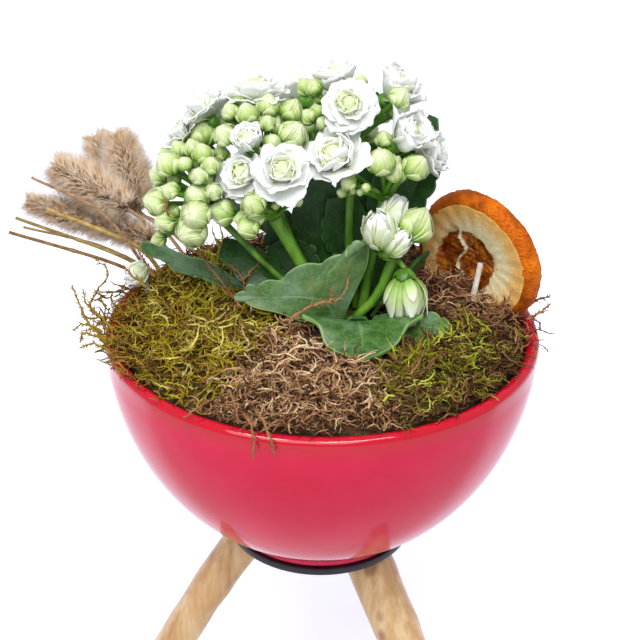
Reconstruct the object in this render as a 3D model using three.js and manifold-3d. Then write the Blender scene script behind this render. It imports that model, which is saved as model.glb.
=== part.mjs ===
// A double-flowered kalanchoe planted in a glazed bowl on three wooden legs, dressed with moss,
// dried grasses and a dried orange slice. Millimetres, +Z up. While it is built, height zero is
// the plane of the rim and X = Y = 0 is the axis of the bowl; the last lines stand it on the floor.
import * as THREE from 'three';
import { mergeVertices } from 'three/addons/utils/BufferGeometryUtils.js';
import Module from 'manifold-3d';

const wasm = await Module();
wasm.setup();

// Room left between neighbouring pieces, under a piece at its seat, and inside the bowl's wall.
const CLEARANCE = 0.35;
const SEAT_GAP = 0.4;
const WALL_GAP = 0.55;

// Bowl: the belly is half an ellipse that hangs from the rim, cut by a short straight foot.
const RIM_RADIUS = 80;
const BELLY_DEPTH = 91;
const BOWL_HEIGHT = 85;
const WALL = 5;
const BOWL_FLOOR = 8;
const FOOT_RADIUS = 34;
const BOWL_SEGMENTS = 32;
const BELLY_STEPS = 6;

// Black plate that the bowl stands on, and the legs under it.
const PLATE_RADIUS = 36.4;
const PLATE_THICKNESS = 3.2;
const LEG_DROP = 114;
const LEG_SIDES = 8;
const LEG_STEPS = 6;
const LEG_KINK = 1.6;
const LEG_SPARE = 8;

// Soil and moss.
const MOUND_HEIGHT = 12;
const MOUND_RADIUS = 78;
const MOSS_THICKNESS = 8;
const MOSS_LUMP = 1.3;
const MOSS_SEAT = 0.75;
const MOSS_RADIUS = 73.4;
const CROWN_AT = [9, -7];
const CROWN_RADIUS = 7.2;
const HOLLOW_RADIUS = 16;

// Leaves and flowers.
const LEAF_THICKNESS = 1.3;
const LOBE_DEPTH = 0.2;
const PETAL_THICKNESS = 0.7;
const PETALS_IN_ROW = 5;
const BUD_SIDES = 6;
const KNOB_RADIUS = 3;
const STEM_SIDES = 5;
const GOLDEN_ANGLE = Math.PI * (3 - Math.sqrt(5));

// Dried orange slice.
const SLICE_RADIUS = 26.5;
const SLICE_THICKNESS = 8.5;
const SLICE_SEGMENTS = 27;

const LOOKS = {
  glaze: { color: 0xc4143a, roughness: 0.12, metalness: 0 },
  black: { color: 0x151317, roughness: 0.6, metalness: 0 },
  wood: { color: 0xd9b07a, roughness: 0.65, metalness: 0 },
  soil: { color: 0x2b1d12, roughness: 0.95, metalness: 0 },
  mossGreen: { color: 0x8c8420, roughness: 0.95, metalness: 0 },
  mossBrown: { color: 0x9a7048, roughness: 0.95, metalness: 0 },
  mossOlive: { color: 0x7d8a26, roughness: 0.95, metalness: 0 },
  mossDark: { color: 0x6f5436, roughness: 0.95, metalness: 0 },
  stem: { color: 0x5d9a22, roughness: 0.5, metalness: 0 },
  bud: { color: 0xb5d27c, roughness: 0.5, metalness: 0 },
  petal: { color: 0xf3f3ec, roughness: 0.6, metalness: 0 },
  leaf: { color: 0x3f7a34, roughness: 0.42, metalness: 0 },
  tail: { color: 0xc2a07e, roughness: 0.9, metalness: 0 },
  straw: { color: 0xb08a3e, roughness: 0.7, metalness: 0 },
  rind: { color: 0xc06a12, roughness: 0.7, metalness: 0 },
};

const vec = (p) => new THREE.Vector3(...p);
const curveThrough = (points) => new THREE.CatmullRomCurve3(points.map(vec));
const fraction = (value) => value - Math.floor(value);

// The same number comes back for the same seed.
const scatter = (seed) => fraction(Math.sin(seed * 12.9898) * 43758.5453);

function welded(geometry) {
  const bare = geometry.index ? geometry.toNonIndexed() : geometry.clone();
  bare.deleteAttribute('normal');
  bare.deleteAttribute('uv');
  return mergeVertices(bare, 1e-4);
}

// The same closed shape with every vertex moved out along its normal.
function swollen(geometry) {
  const grown = geometry.clone();
  grown.computeVertexNormals();
  const place = grown.attributes.position;
  const normal = grown.attributes.normal;
  for (let i = 0; i < place.count; i += 1) {
    place.setXYZ(
      i,
      place.getX(i) + normal.getX(i) * CLEARANCE,
      place.getY(i) + normal.getY(i) * CLEARANCE,
      place.getZ(i) + normal.getZ(i) * CLEARANCE,
    );
  }
  grown.deleteAttribute('normal');
  return grown;
}

function toSolid(geometry) {
  return new wasm.Manifold(new wasm.Mesh({
    numProp: 3,
    vertProperties: new Float32Array(geometry.attributes.position.array),
    triVerts: new Uint32Array(geometry.index.array),
  }));
}

function toGeometry(solid) {
  const mesh = solid.getMesh();
  const geometry = new THREE.BufferGeometry();
  geometry.setAttribute('position', new THREE.BufferAttribute(mesh.vertProperties, 3));
  geometry.setIndex(new THREE.BufferAttribute(mesh.triVerts, 1));
  return geometry;
}

// Scraps that a cut leaves loose, and hollows that a join seals, are dropped.
function mainBody(solid) {
  return solid.decompose().reduce((best, next) => (next.volume() > best.volume() ? next : best));
}

function boxed(shape) {
  const geometry = welded(shape);
  geometry.computeBoundingBox();
  return geometry;
}

const placed = [];
const plant = new THREE.Group();

// A piece is the join of its shapes, kept clear of every piece that was placed before it. Its
// room, where it is given, is a plainer shape that later pieces keep clear of in its stead.
function place(name, look, shapes, room) {
  const own = shapes.map(boxed);
  let body = own.map(toSolid).reduce((sum, next) => sum.add(next));
  for (const other of placed) {
    for (const shape of other) {
      const room = shape.boundingBox.clone().expandByScalar(2 * CLEARANCE);
      if (own.some((geometry) => geometry.boundingBox.intersectsBox(room))) {
        body = body.subtract(toSolid(swollen(shape)));
      }
    }
  }
  placed.push((room ?? shapes).map(boxed));
  const mesh = new THREE.Mesh(
    toGeometry(mainBody(body)),
    new THREE.MeshStandardMaterial(LOOKS[look]),
  );
  mesh.name = name;
  plant.add(mesh);
}

// A shape made round +Y is turned to point the given way and moved to its place.
function aim(geometry, at, direction) {
  const turn = new THREE.Quaternion().setFromUnitVectors(
    new THREE.Vector3(0, 1, 0),
    vec(direction).normalize(),
  );
  return geometry.applyQuaternion(turn).translate(...at);
}

// A cylinder bent along a smooth curve, with its radius eased through the given values.
function stalk(points, radii, sides, steps) {
  const curve = curveThrough(points);
  const frames = curve.computeFrenetFrames(steps, false);
  const geometry = new THREE.CylinderGeometry(1, 1, 1, sides, steps);
  const spot = geometry.attributes.position;
  for (let i = 0; i < spot.count; i += 1) {
    const along = THREE.MathUtils.clamp(spot.getY(i) + 0.5, 0, 1);
    const ring = Math.round(along * steps);
    const reach = (ring / steps) * (radii.length - 1);
    const low = Math.min(Math.floor(reach), radii.length - 2);
    const radius = THREE.MathUtils.lerp(radii[low], radii[low + 1], reach - low);
    const point = curve.getPointAt(ring / steps)
      .addScaledVector(frames.normals[ring], spot.getX(i) * radius)
      .addScaledVector(frames.binormals[ring], -spot.getZ(i) * radius);
    spot.setXYZ(i, point.x, point.y, point.z);
  }
  return outwards(geometry);
}

// Turns every triangle round when a shape came out with its faces pointing in.
function outwards(geometry) {
  const flat = welded(geometry);
  const spot = flat.attributes.position;
  const index = flat.index.array;
  const corner = [new THREE.Vector3(), new THREE.Vector3(), new THREE.Vector3()];
  let volume = 0;
  for (let i = 0; i < index.length; i += 3) {
    corner.forEach((point, k) => point.fromBufferAttribute(spot, index[i + k]));
    volume += corner[0].dot(corner[1].clone().cross(corner[2]));
  }
  if (volume < 0) {
    for (let i = 0; i < index.length; i += 3) {
      [index[i + 1], index[i + 2]] = [index[i + 2], index[i + 1]];
    }
  }
  return flat;
}

// A closed sheet with an upper and a lower face, both split into triangles alike.
function slab(columns, rows, upper, lower) {
  const points = [];
  const triangles = [];
  const size = (columns + 1) * (rows + 1);
  const at = (face, i, j) => face * size + j * (columns + 1) + i;
  for (const face of [upper, lower]) {
    for (let j = 0; j <= rows; j += 1) {
      for (let i = 0; i <= columns; i += 1) points.push(...face(i / columns, j / rows));
    }
  }
  for (let j = 0; j < rows; j += 1) {
    for (let i = 0; i < columns; i += 1) {
      for (const face of [0, 1]) {
        const [a, b] = [at(face, i, j), at(face, i + 1, j)];
        const [c, d] = [at(face, i + 1, j + 1), at(face, i, j + 1)];
        triangles.push(...(face === 0 ? [a, b, c, a, c, d] : [a, c, b, a, d, c]));
      }
    }
  }
  const wall = (i0, j0, i1, j1) => {
    const [a, b] = [at(0, i0, j0), at(0, i1, j1)];
    const [c, d] = [at(1, i1, j1), at(1, i0, j0)];
    triangles.push(b, a, d, b, d, c);
  };
  for (let i = 0; i < columns; i += 1) {
    wall(i, 0, i + 1, 0);
    wall(i + 1, rows, i, rows);
  }
  for (let j = 0; j < rows; j += 1) {
    wall(columns, j, columns, j + 1);
    wall(0, j + 1, 0, j);
  }
  const geometry = new THREE.BufferGeometry();
  geometry.setAttribute('position', new THREE.Float32BufferAttribute(points, 3));
  geometry.setIndex(triangles);
  return outwards(geometry);
}

// Bowl, plate and legs

function bellyRadius(depth, inset) {
  return (RIM_RADIUS - inset) * Math.sqrt(1 - (depth / (BELLY_DEPTH - inset)) ** 2);
}

// Points down the belly from the rim to the given radius, evenly spread round the ellipse.
function bellyProfile(inset, lastRadius, steps) {
  const points = [];
  const end = Math.acos(lastRadius / (RIM_RADIUS - inset));
  for (let i = 0; i <= steps; i += 1) {
    const angle = (end * i) / steps;
    points.push(new THREE.Vector2(
      (RIM_RADIUS - inset) * Math.cos(angle),
      -(BELLY_DEPTH - inset) * Math.sin(angle),
    ));
  }
  return points;
}

// A closed profile turned round the upright axis; its height is given along Y.
function turned(profile, segments) {
  return outwards(new THREE.LatheGeometry(profile, segments).rotateX(Math.PI / 2));
}

function bowl() {
  const outer = bellyProfile(0, FOOT_RADIUS, BELLY_STEPS);
  const inner = bellyProfile(WALL, bellyRadius(BOWL_HEIGHT - BOWL_FLOOR, WALL), BELLY_STEPS);
  const lip = [1, 2, 3].map((k) => {
    const angle = (Math.PI * k) / 4;
    return new THREE.Vector2(
      RIM_RADIUS - WALL / 2 - (WALL / 2) * Math.cos(angle),
      (WALL / 2) * Math.sin(angle) - WALL / 2,
    );
  });
  const sunk = (points) => points.map((p) => new THREE.Vector2(p.x, Math.min(p.y, -WALL / 2)));
  const profile = [
    new THREE.Vector2(0, BOWL_FLOOR - BOWL_HEIGHT),
    ...sunk(inner).reverse(),
    ...lip,
    ...sunk(outer),
    new THREE.Vector2(FOOT_RADIUS, -BOWL_HEIGHT),
    new THREE.Vector2(0, -BOWL_HEIGHT),
  ];
  return turned(profile, BOWL_SEGMENTS);
}

const plateTop = -BOWL_HEIGHT - SEAT_GAP;
const plateBottom = plateTop - PLATE_THICKNESS;
const floorHeight = plateBottom - LEG_DROP;

function plate() {
  const geometry = new THREE.CylinderGeometry(
    PLATE_RADIUS,
    PLATE_RADIUS,
    PLATE_THICKNESS,
    BOWL_SEGMENTS,
  );
  return geometry.rotateX(Math.PI / 2).translate(0, 0, (plateTop + plateBottom) / 2);
}

// Legs: azimuth in degrees, distance from the axis at the plate and at the floor. The radii run
// down the leg.
const LEGS = [
  { name: 'leg_left', azimuth: 180, top: 25, foot: 88, seed: 1 },
  { name: 'leg_front', azimuth: -42, top: 22, foot: 92, seed: 2 },
  { name: 'leg_back', azimuth: 69, top: 24, foot: 88, seed: 3 },
];
const LEG_RADII = [9.6, 9.4, 9.2, 9.4, 8.6, 8, 7.6, 7.4];

// A peeled branch with a slight kink at each ring, longer than needed by a spare end above and
// below, and sawn level under the plate and at the floor.
function leg({ azimuth, top, foot, seed }) {
  const turn = THREE.MathUtils.degToRad(azimuth);
  const slope = (foot - top) / LEG_DROP;
  const points = [];
  for (let i = 0; i <= LEG_STEPS; i += 1) {
    const height = plateBottom + LEG_SPARE - ((LEG_DROP + 2 * LEG_SPARE) * i) / LEG_STEPS;
    const out = top + slope * (plateBottom - height) + LEG_KINK * (scatter(seed + i) - 0.5);
    const side = LEG_KINK * (scatter(seed * 7 + i) - 0.5);
    points.push([
      out * Math.cos(turn) - side * Math.sin(turn),
      out * Math.sin(turn) + side * Math.cos(turn),
      height,
    ]);
  }
  const branch = toSolid(welded(stalk(points, LEG_RADII, LEG_SIDES, LEG_STEPS)));
  const block = 300;
  const above = new THREE.BoxGeometry(block, block, block)
    .translate(0, 0, plateBottom - SEAT_GAP + block / 2);
  const below = new THREE.BoxGeometry(block, block, block)
    .translate(0, 0, floorHeight - block / 2);
  return toGeometry([above, below].reduce((sum, cut) => sum.subtract(toSolid(welded(cut))), branch));
}

place('bowl', 'glaze', [bowl()]);
place('base_plate', 'black', [plate()]);
for (const each of LEGS) place(each.name, 'wood', [leg(each)]);

// Flower heads

// A bud on its stalk, in one turned shape that starts inside the knob at the fork.
function bud(fork, [x, y, z, radius]) {
  const away = vec([x, y, z]).sub(vec(fork));
  const start = 0.6 * KNOB_RADIUS - away.length();
  const outline = [
    [0, start], [0.8, start], [0.9, -0.97 * radius],
    [radius, -0.42 * radius], [0.92 * radius, 0.42 * radius], [0, 1.12 * radius],
  ];
  const profile = outline.map((point) => new THREE.Vector2(...point));
  return aim(new THREE.LatheGeometry(profile, BUD_SIDES), [x, y, z], away.toArray());
}

// Two rows of petals of a double floret and its heart, in shares of the floret's radius: where
// a row starts, how long it is, and its tilt in degrees when the floret is open and when shut.
const PETAL_ROWS = [
  { root: [0.15, -0.16], length: 0.85, open: 6, shut: 58 },
  { root: [0.17, 0.02], length: 0.64, open: 38, shut: 72 },
];
const HEART = { open: [[0.32, 0.28], [0, 0.5]], shut: [[0.1, 0.3], [0, 0.65]] };
const FLORET_BASE = -0.27;

// Edge points of a petal, seen from above: a notch, then two corners of the rounded end.
const PETAL_OUTLINE = [0.72, 1, 0.97];

// One turned shape: its rim goes out to each row's petal tips and back, and is then notched.
function floret({ at, facing, radius, opening }) {
  const mix = (shut, open) => THREE.MathUtils.lerp(shut, open, opening);
  const points = [{ spot: [0, FLORET_BASE] }];
  PETAL_ROWS.forEach(({ root, length, open, shut }, layer) => {
    const tilt = THREE.MathUtils.degToRad(mix(shut, open));
    const tip = [root[0] + length * Math.cos(tilt), root[1] + length * Math.sin(tilt)];
    const thick = PETAL_THICKNESS / radius;
    const over = [tip[0] - thick * Math.sin(tilt), tip[1] + thick * Math.cos(tilt)];
    if (layer > 0) points.push({ spot: root });
    points.push({ spot: tip, root, layer }, { spot: over, root, layer });
  });
  HEART.open.forEach((spot, i) => {
    points.push({ spot: spot.map((value, k) => mix(HEART.shut[i][k], value)) });
  });
  const profile = points.map(({ spot }) => new THREE.Vector2(spot[0], spot[1]));
  const segments = PETALS_IN_ROW * PETAL_OUTLINE.length;
  const geometry = new THREE.LatheGeometry(profile, segments);
  const place = geometry.attributes.position;
  for (let i = 0; i < place.count; i += 1) {
    const column = Math.floor(i / points.length);
    const row = i % points.length;
    const { root, layer } = points[row];
    if (!root) continue;
    const step = (column + layer) % PETAL_OUTLINE.length;
    const share = PETAL_OUTLINE[step];
    const inner = root[0] / Math.hypot(place.getX(i), place.getZ(i));
    place.setXYZ(
      i,
      place.getX(i) * (inner + (1 - inner) * share),
      root[1] + (place.getY(i) - root[1]) * share,
      place.getZ(i) * (inner + (1 - inner) * share),
    );
  }
  return aim(outwards(geometry.scale(radius, radius, radius)), at, facing);
}

// The slim green cup under a floret, from which its petals open.
function cupBase({ at, facing, radius }) {
  const back = vec(facing).normalize();
  const depth = -FLORET_BASE * radius + CLEARANCE + 0.1;
  const length = 4;
  const outline = [[0, -length], [1.9, -0.4 * length], [1.5, 0], [0, 0]];
  const profile = outline.map(([x, y]) => new THREE.Vector2(x, y));
  const top = vec(at).addScaledVector(back, -depth);
  return {
    shape: aim(new THREE.LatheGeometry(profile, BUD_SIDES), top.toArray(), facing),
    foot: top.addScaledVector(back, -length * 0.6),
  };
}

// A stalk from the knob at the fork to a cup.
function pedicel(fork, foot) {
  const away = vec(foot).sub(vec(fork)).normalize();
  const start = vec(fork).addScaledVector(away, 0.6 * KNOB_RADIUS);
  return stalk([start.toArray(), foot.toArray()], [0.9, 0.9], 3, 1);
}

// A stem with its fork, the buds round it and the cups that carry its open florets.
function spray({ stem, girth, fork, buds, florets }) {
  const shapes = [
    stalk([...stem, fork], girth, STEM_SIDES, 4),
    new THREE.SphereGeometry(KNOB_RADIUS, 5, 3).translate(...fork),
    ...buds.map((each) => bud(fork, each)),
  ];
  for (const each of florets) {
    const { shape, foot } = cupBase(each);
    shapes.push(shape, pedicel(fork, foot));
  }
  return shapes;
}

// Buds on the side of a head that faces away, spread by the golden angle over part of a dome.
function hiddenBuds(fork, count, reach, azimuth) {
  const buds = [];
  for (let i = 0; i < count; i += 1) {
    const spread = ((i * GOLDEN_ANGLE) % Math.PI) - Math.PI / 2;
    const turn = THREE.MathUtils.degToRad(azimuth) + spread;
    const rise = THREE.MathUtils.degToRad(12 + (58 * (i + 0.5)) / count);
    const out = reach * (0.92 + 0.12 * scatter(i + reach));
    buds.push([
      fork[0] + out * Math.cos(rise) * Math.cos(turn),
      fork[1] + out * Math.cos(rise) * Math.sin(turn),
      fork[2] + out * Math.sin(rise),
      2.8 + 1.4 * scatter(i * 3 + reach),
    ]);
  }
  return buds;
}

// Florets: where each stands, which way it looks, its radius, and how far it is open.
const FLORETS = {
  left: [
    { at: [-53, 9, 70.5], facing: [-0.6, 0.2, 0.7], radius: 6.5, opening: 0.7 },
    { at: [-38, 30, 68], facing: [-0.3, 0.8, 0.5], radius: 9, opening: 1 },
  ],
  upper: [
    { at: [-44, 13, 81], facing: [-0.45, 0.35, 0.8], radius: 8.5, opening: 0.9 },
    { at: [-24, 16, 86.5], facing: [-0.1, 0.3, 0.93], radius: 11.5, opening: 1 },
    { at: [-26, -9, 75.5], facing: [-0.3, -0.7, 0.6], radius: 7.5, opening: 0.35 },
  ],
  front: [
    { at: [-30, -10.5, 62.8], facing: [-0.5, -0.75, 0.45], radius: 8.8, opening: 1 },
    { at: [-13.5, -18, 67], facing: [0.05, -0.85, 0.5], radius: 11, opening: 1 },
  ],
  top: [
    { at: [8, -5, 87.5], facing: [-0.05, -0.75, 0.65], radius: 11.2, opening: 1 },
    { at: [4, 13, 93], facing: [-0.1, 0.3, 0.95], radius: 9, opening: 0.8 },
    { at: [23.5, 13, 89], facing: [0.55, 0.05, 0.75], radius: 10, opening: 0.8 },
  ],
  right: [
    { at: [4.5, -9, 70.5], facing: [-0.5, -0.65, 0.55], radius: 9.6, opening: 0.85 },
    { at: [27, -4.5, 77], facing: [0.5, -0.45, 0.75], radius: 9.2, opening: 0.75 },
    { at: [37.5, 3, 68], facing: [0.85, -0.1, 0.35], radius: 9, opening: 0.8 },
  ],
  back: [
    { at: [-8, 40, 74], facing: [-0.1, 0.8, 0.6], radius: 10, opening: 1 },
    { at: [16, 34, 72], facing: [0.4, 0.75, 0.5], radius: 9, opening: 0.9 },
  ],
};

// Three florets that open against one another, one that hangs, and one cut and tucked in moss.
const LOW_FLORETS = [
  { at: [21, -14, 45], facing: [-0.3, -0.6, 0.75], radius: 7.5, opening: 0.15 },
  { at: [24, -11, 46], facing: [0.15, -0.2, 1], radius: 7, opening: 0.1 },
  { at: [23.5, -16, 43.5], facing: [0.3, -0.8, 0.45], radius: 6.5, opening: 0.15 },
];
const HANGING_FLORET = {
  at: [28, -15, 25], facing: [0.25, -0.4, -0.9], radius: 10.5, opening: 0.05,
};
const TUCKED_FLORET = {
  at: [-70, 18, 14], facing: [-0.5, -0.3, 0.6], radius: 7, opening: 0.05,
};

// Heads: the stem's way up from the crown, its radii, the fork, and buds as place and radius.
const SPRAYS = {
  left: {
    stem: [[4.3, -8.7, 9], [-14, -9, 22]],
    girth: [1.8, 1.4],
    fork: [-38, -2, 44],
    buds: [
      [-43, 9, 70, 4.6], [-51, 2, 67, 3.1], [-46, -1, 69, 2.9], [-42, -8, 70, 3.3],
      [-36, -3, 68, 2.8], [-48, -10, 67, 2.4], [-43, -13, 64, 2.7], [-39, -11, 67, 2.9],
      [-54, -8, 66, 4.1], [-58, -3, 59, 3.1], [-53, -15, 59, 2.7], [-38, -15, 59, 2.6],
      [-58, -13, 54, 4.1], [-55, -16, 48, 3.3], [-44, -12, 56, 3.8], [-44, -19, 52, 4.1],
      [-46, -17, 45, 4.4], [-58, -9, 38, 2.3],
      ...hiddenBuds([-38, 6, 50], 4, 22, 125),
    ],
    florets: FLORETS.left,
  },
  upper: {
    stem: [[4.7, -4.5, 9], [-8, 2, 26]],
    girth: [1.8, 1.4],
    fork: [-22, 5, 56],
    buds: [
      [-33, 3, 81, 2.8], [-30, 9, 83, 2.8], [-27, -1, 82, 3.6], [-20, 4, 83, 3.8],
      [-12, 5, 81, 3.8], [-20, -4, 80, 2.6], [-18, -9, 75, 2.7], [-11, -4, 76, 4.4],
      [-34.5, -5.5, 76, 3.5], [-5, 1, 68, 2.4],
    ],
    florets: FLORETS.upper,
  },
  front: {
    stem: [[7.3, -11.7, 9], [-2, -12.5, 20]],
    girth: [1.9, 1.9],
    fork: [-17, -12, 48],
    buds: [[-35, -13, 50.5, 3.6], [-26, -22, 49, 3.1], [-24, -23, 58, 3.2], [-9, -20, 58, 1.7]],
    florets: FLORETS.front,
  },
  top: {
    stem: [[12.2, -3.2, 9], [9, 2, 34]],
    girth: [1.8, 1.4],
    fork: [10, 5, 68],
    buds: [
      [-7, 10, 88, 3.1], [-4, 7, 89, 2.8], [-6, 5, 79, 2.8], [-1, -3, 80, 2.2],
      [12, 6, 92, 2.1], [25, -0.5, 88.5, 3.4], [27, 6.5, 82, 2.3],
    ],
    florets: FLORETS.top,
  },
  right: {
    stem: [[14, -7, 9], [17, -5, 28]],
    girth: [1.9, 1.6],
    fork: [21, -4, 52],
    buds: [
      [19, -15, 71, 4.4], [31, -12, 68, 4.2], [20, -5, 75, 2.8], [8, -15, 63, 2.6],
      [6, -12, 58, 1.7], [14, -19, 63, 1.5], [34, 7, 60, 3.2], [25, 9, 66, 3.2],
    ],
    florets: FLORETS.right,
  },
  low: {
    stem: [[11.9, -11.1, 9], [19, -12, 18]],
    girth: [1.9, 1.6],
    fork: [25, -11, 33],
    buds: [[34, -10, 45, 5.2]],
    florets: [...LOW_FLORETS, HANGING_FLORET],
  },
  back: {
    stem: [[8.1, -2.1, 9], [6, 12, 24]],
    girth: [1.9, 1.5],
    fork: [0, 24, 50],
    buds: hiddenBuds([0, 24, 50], 9, 23, 90),
    florets: FLORETS.back,
  },
};

// The short rootstock that every stem and leaf grows from, standing in its hole in the soil.
function crown() {
  const [x, y] = CROWN_AT;
  const top = soilHeight(x, y) + 5;
  return stalk([[x, y, top - 22], [x, y, top]], [5, CROWN_RADIUS], 8, 2);
}

// Soil and moss

function moundHeight(x, y) {
  const reach = Math.min(Math.hypot(x, y) / MOUND_RADIUS, 0.99);
  return MOUND_HEIGHT * (1 - reach ** 2) ** 0.8 - 1;
}

function soilHeight(x, y) {
  return moundHeight(x, y) - MOSS_THICKNESS;
}

function soil() {
  const inset = WALL + WALL_GAP;
  const edge = bellyRadius(MOSS_THICKNESS, inset);
  const bottom = BOWL_HEIGHT - BOWL_FLOOR - SEAT_GAP;
  const side = bellyProfile(inset, bellyRadius(bottom, inset), BELLY_STEPS)
    .filter((p) => p.y < soilHeight(edge, 0) - 1);
  const top = [0, 0.4, 0.75, 1].map((share) => (
    new THREE.Vector2(share * edge, soilHeight(share * edge, 0))
  ));
  return turned([new THREE.Vector2(0, -bottom), ...side.reverse(), ...top.reverse()], BOWL_SEGMENTS);
}

// How far the moss is laid back from the axis of the bowl, round the hollow at the crown.
function hollowEdge(turn) {
  const away = Math.hypot(...CROWN_AT);
  const swing = turn - Math.atan2(CROWN_AT[1], CROWN_AT[0]);
  return away * Math.cos(swing) + Math.sqrt(HOLLOW_RADIUS ** 2 - (away * Math.sin(swing)) ** 2);
}

function mossLump(x, y) {
  return MOSS_LUMP * (Math.sin(0.31 * x + 0.17 * y) + Math.sin(0.23 * y - 0.29 * x + 2));
}

// A pad of moss between two azimuths, lumpy on top and rounded off where it meets the rim.
function mossPad(from, to) {
  const spot = (u, v) => {
    const straight = THREE.MathUtils.degToRad(THREE.MathUtils.lerp(from, to, u));
    const radius = THREE.MathUtils.lerp(hollowEdge(straight), MOSS_RADIUS, v);
    const apart = (CLEARANCE * ((u === 0) - (u === 1))) / radius;
    return [radius * Math.cos(straight + apart), radius * Math.sin(straight + apart)];
  };
  const upper = (u, v) => {
    const [x, y] = spot(u, v);
    const shoulder = v === 0 || v === 1 ? 2.4 : 0;
    return [x, y, moundHeight(x, y) + mossLump(x, y) - shoulder];
  };
  const lower = (u, v) => {
    const [x, y] = spot(u, v);
    return [x, y, soilHeight(x, y) + MOSS_SEAT];
  };
  return slab(Math.round((to - from) / 11), 5, upper, lower);
}

const MOSS_PADS = [
  { name: 'moss_green', look: 'mossGreen', from: 128, to: 238 },
  { name: 'moss_brown', look: 'mossBrown', from: 238, to: 292 },
  { name: 'moss_olive', look: 'mossOlive', from: 292, to: 345 },
  { name: 'moss_back', look: 'mossDark', from: 345, to: 488 },
];

// Leaves

// A leaf from its rib and its two margins, which start and end together. The lobes swell and
// pinch the margins, and the blade has the same thickness all over.
function blade({ rib, left, right, lobes, cells, thickness = LEAF_THICKNESS }) {
  const [middle, ...sides] = [rib, left, right].map(curveThrough);
  const pinch = (u) => (u < 0.2 ? 0 : LOBE_DEPTH * Math.abs(Math.cos(Math.PI * lobes * u)));
  const surface = (u, v) => {
    const across = 2 * v - 1;
    const centre = middle.getPoint(u);
    const margin = sides[across < 0 ? 0 : 1].getPoint(u);
    const share = Math.abs(across) * (1 - pinch(u) * across ** 2);
    return centre.lerp(margin, share);
  };
  const nudge = 0.02;
  const normal = (u, v) => {
    const [u0, u1] = [Math.max(u - nudge, 0), Math.min(u + nudge, 1)];
    const along = surface(u1, v).sub(surface(u0, v));
    const over = surface(u, Math.min(v + nudge, 1)).sub(surface(u, Math.max(v - nudge, 0)));
    return along.cross(over).normalize();
  };
  const face = (side) => (u, v) => (
    surface(u, v).addScaledVector(normal(u, v), (side * thickness) / 2).toArray()
  );
  return slab(3 * lobes, 2 * cells, face(1), face(-1));
}

// Half widths of an ovate leaf at four stations from the stalk to the blunt tip.
const OVATE = [0.12, 0.5, 1, 0.86, 0.2];

// Both margins of a plain leaf: set off from the rib along `across`, lifted by `cup`.
function ovate({ rib, across, half, cup = 0, lobes = 5, cells = 1 }) {
  const middle = curveThrough(rib);
  const side = vec(across).normalize();
  const margins = [-1, 1].map((sign) => OVATE.map((share, i) => {
    const u = i / (OVATE.length - 1);
    const lift = middle.getTangent(u).cross(side).normalize();
    return middle.getPoint(u)
      .addScaledVector(side, sign * half * share)
      .addScaledVector(lift, cup * share)
      .toArray();
  }));
  return { rib, left: margins[0], right: margins[1], lobes, cells };
}

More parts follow.
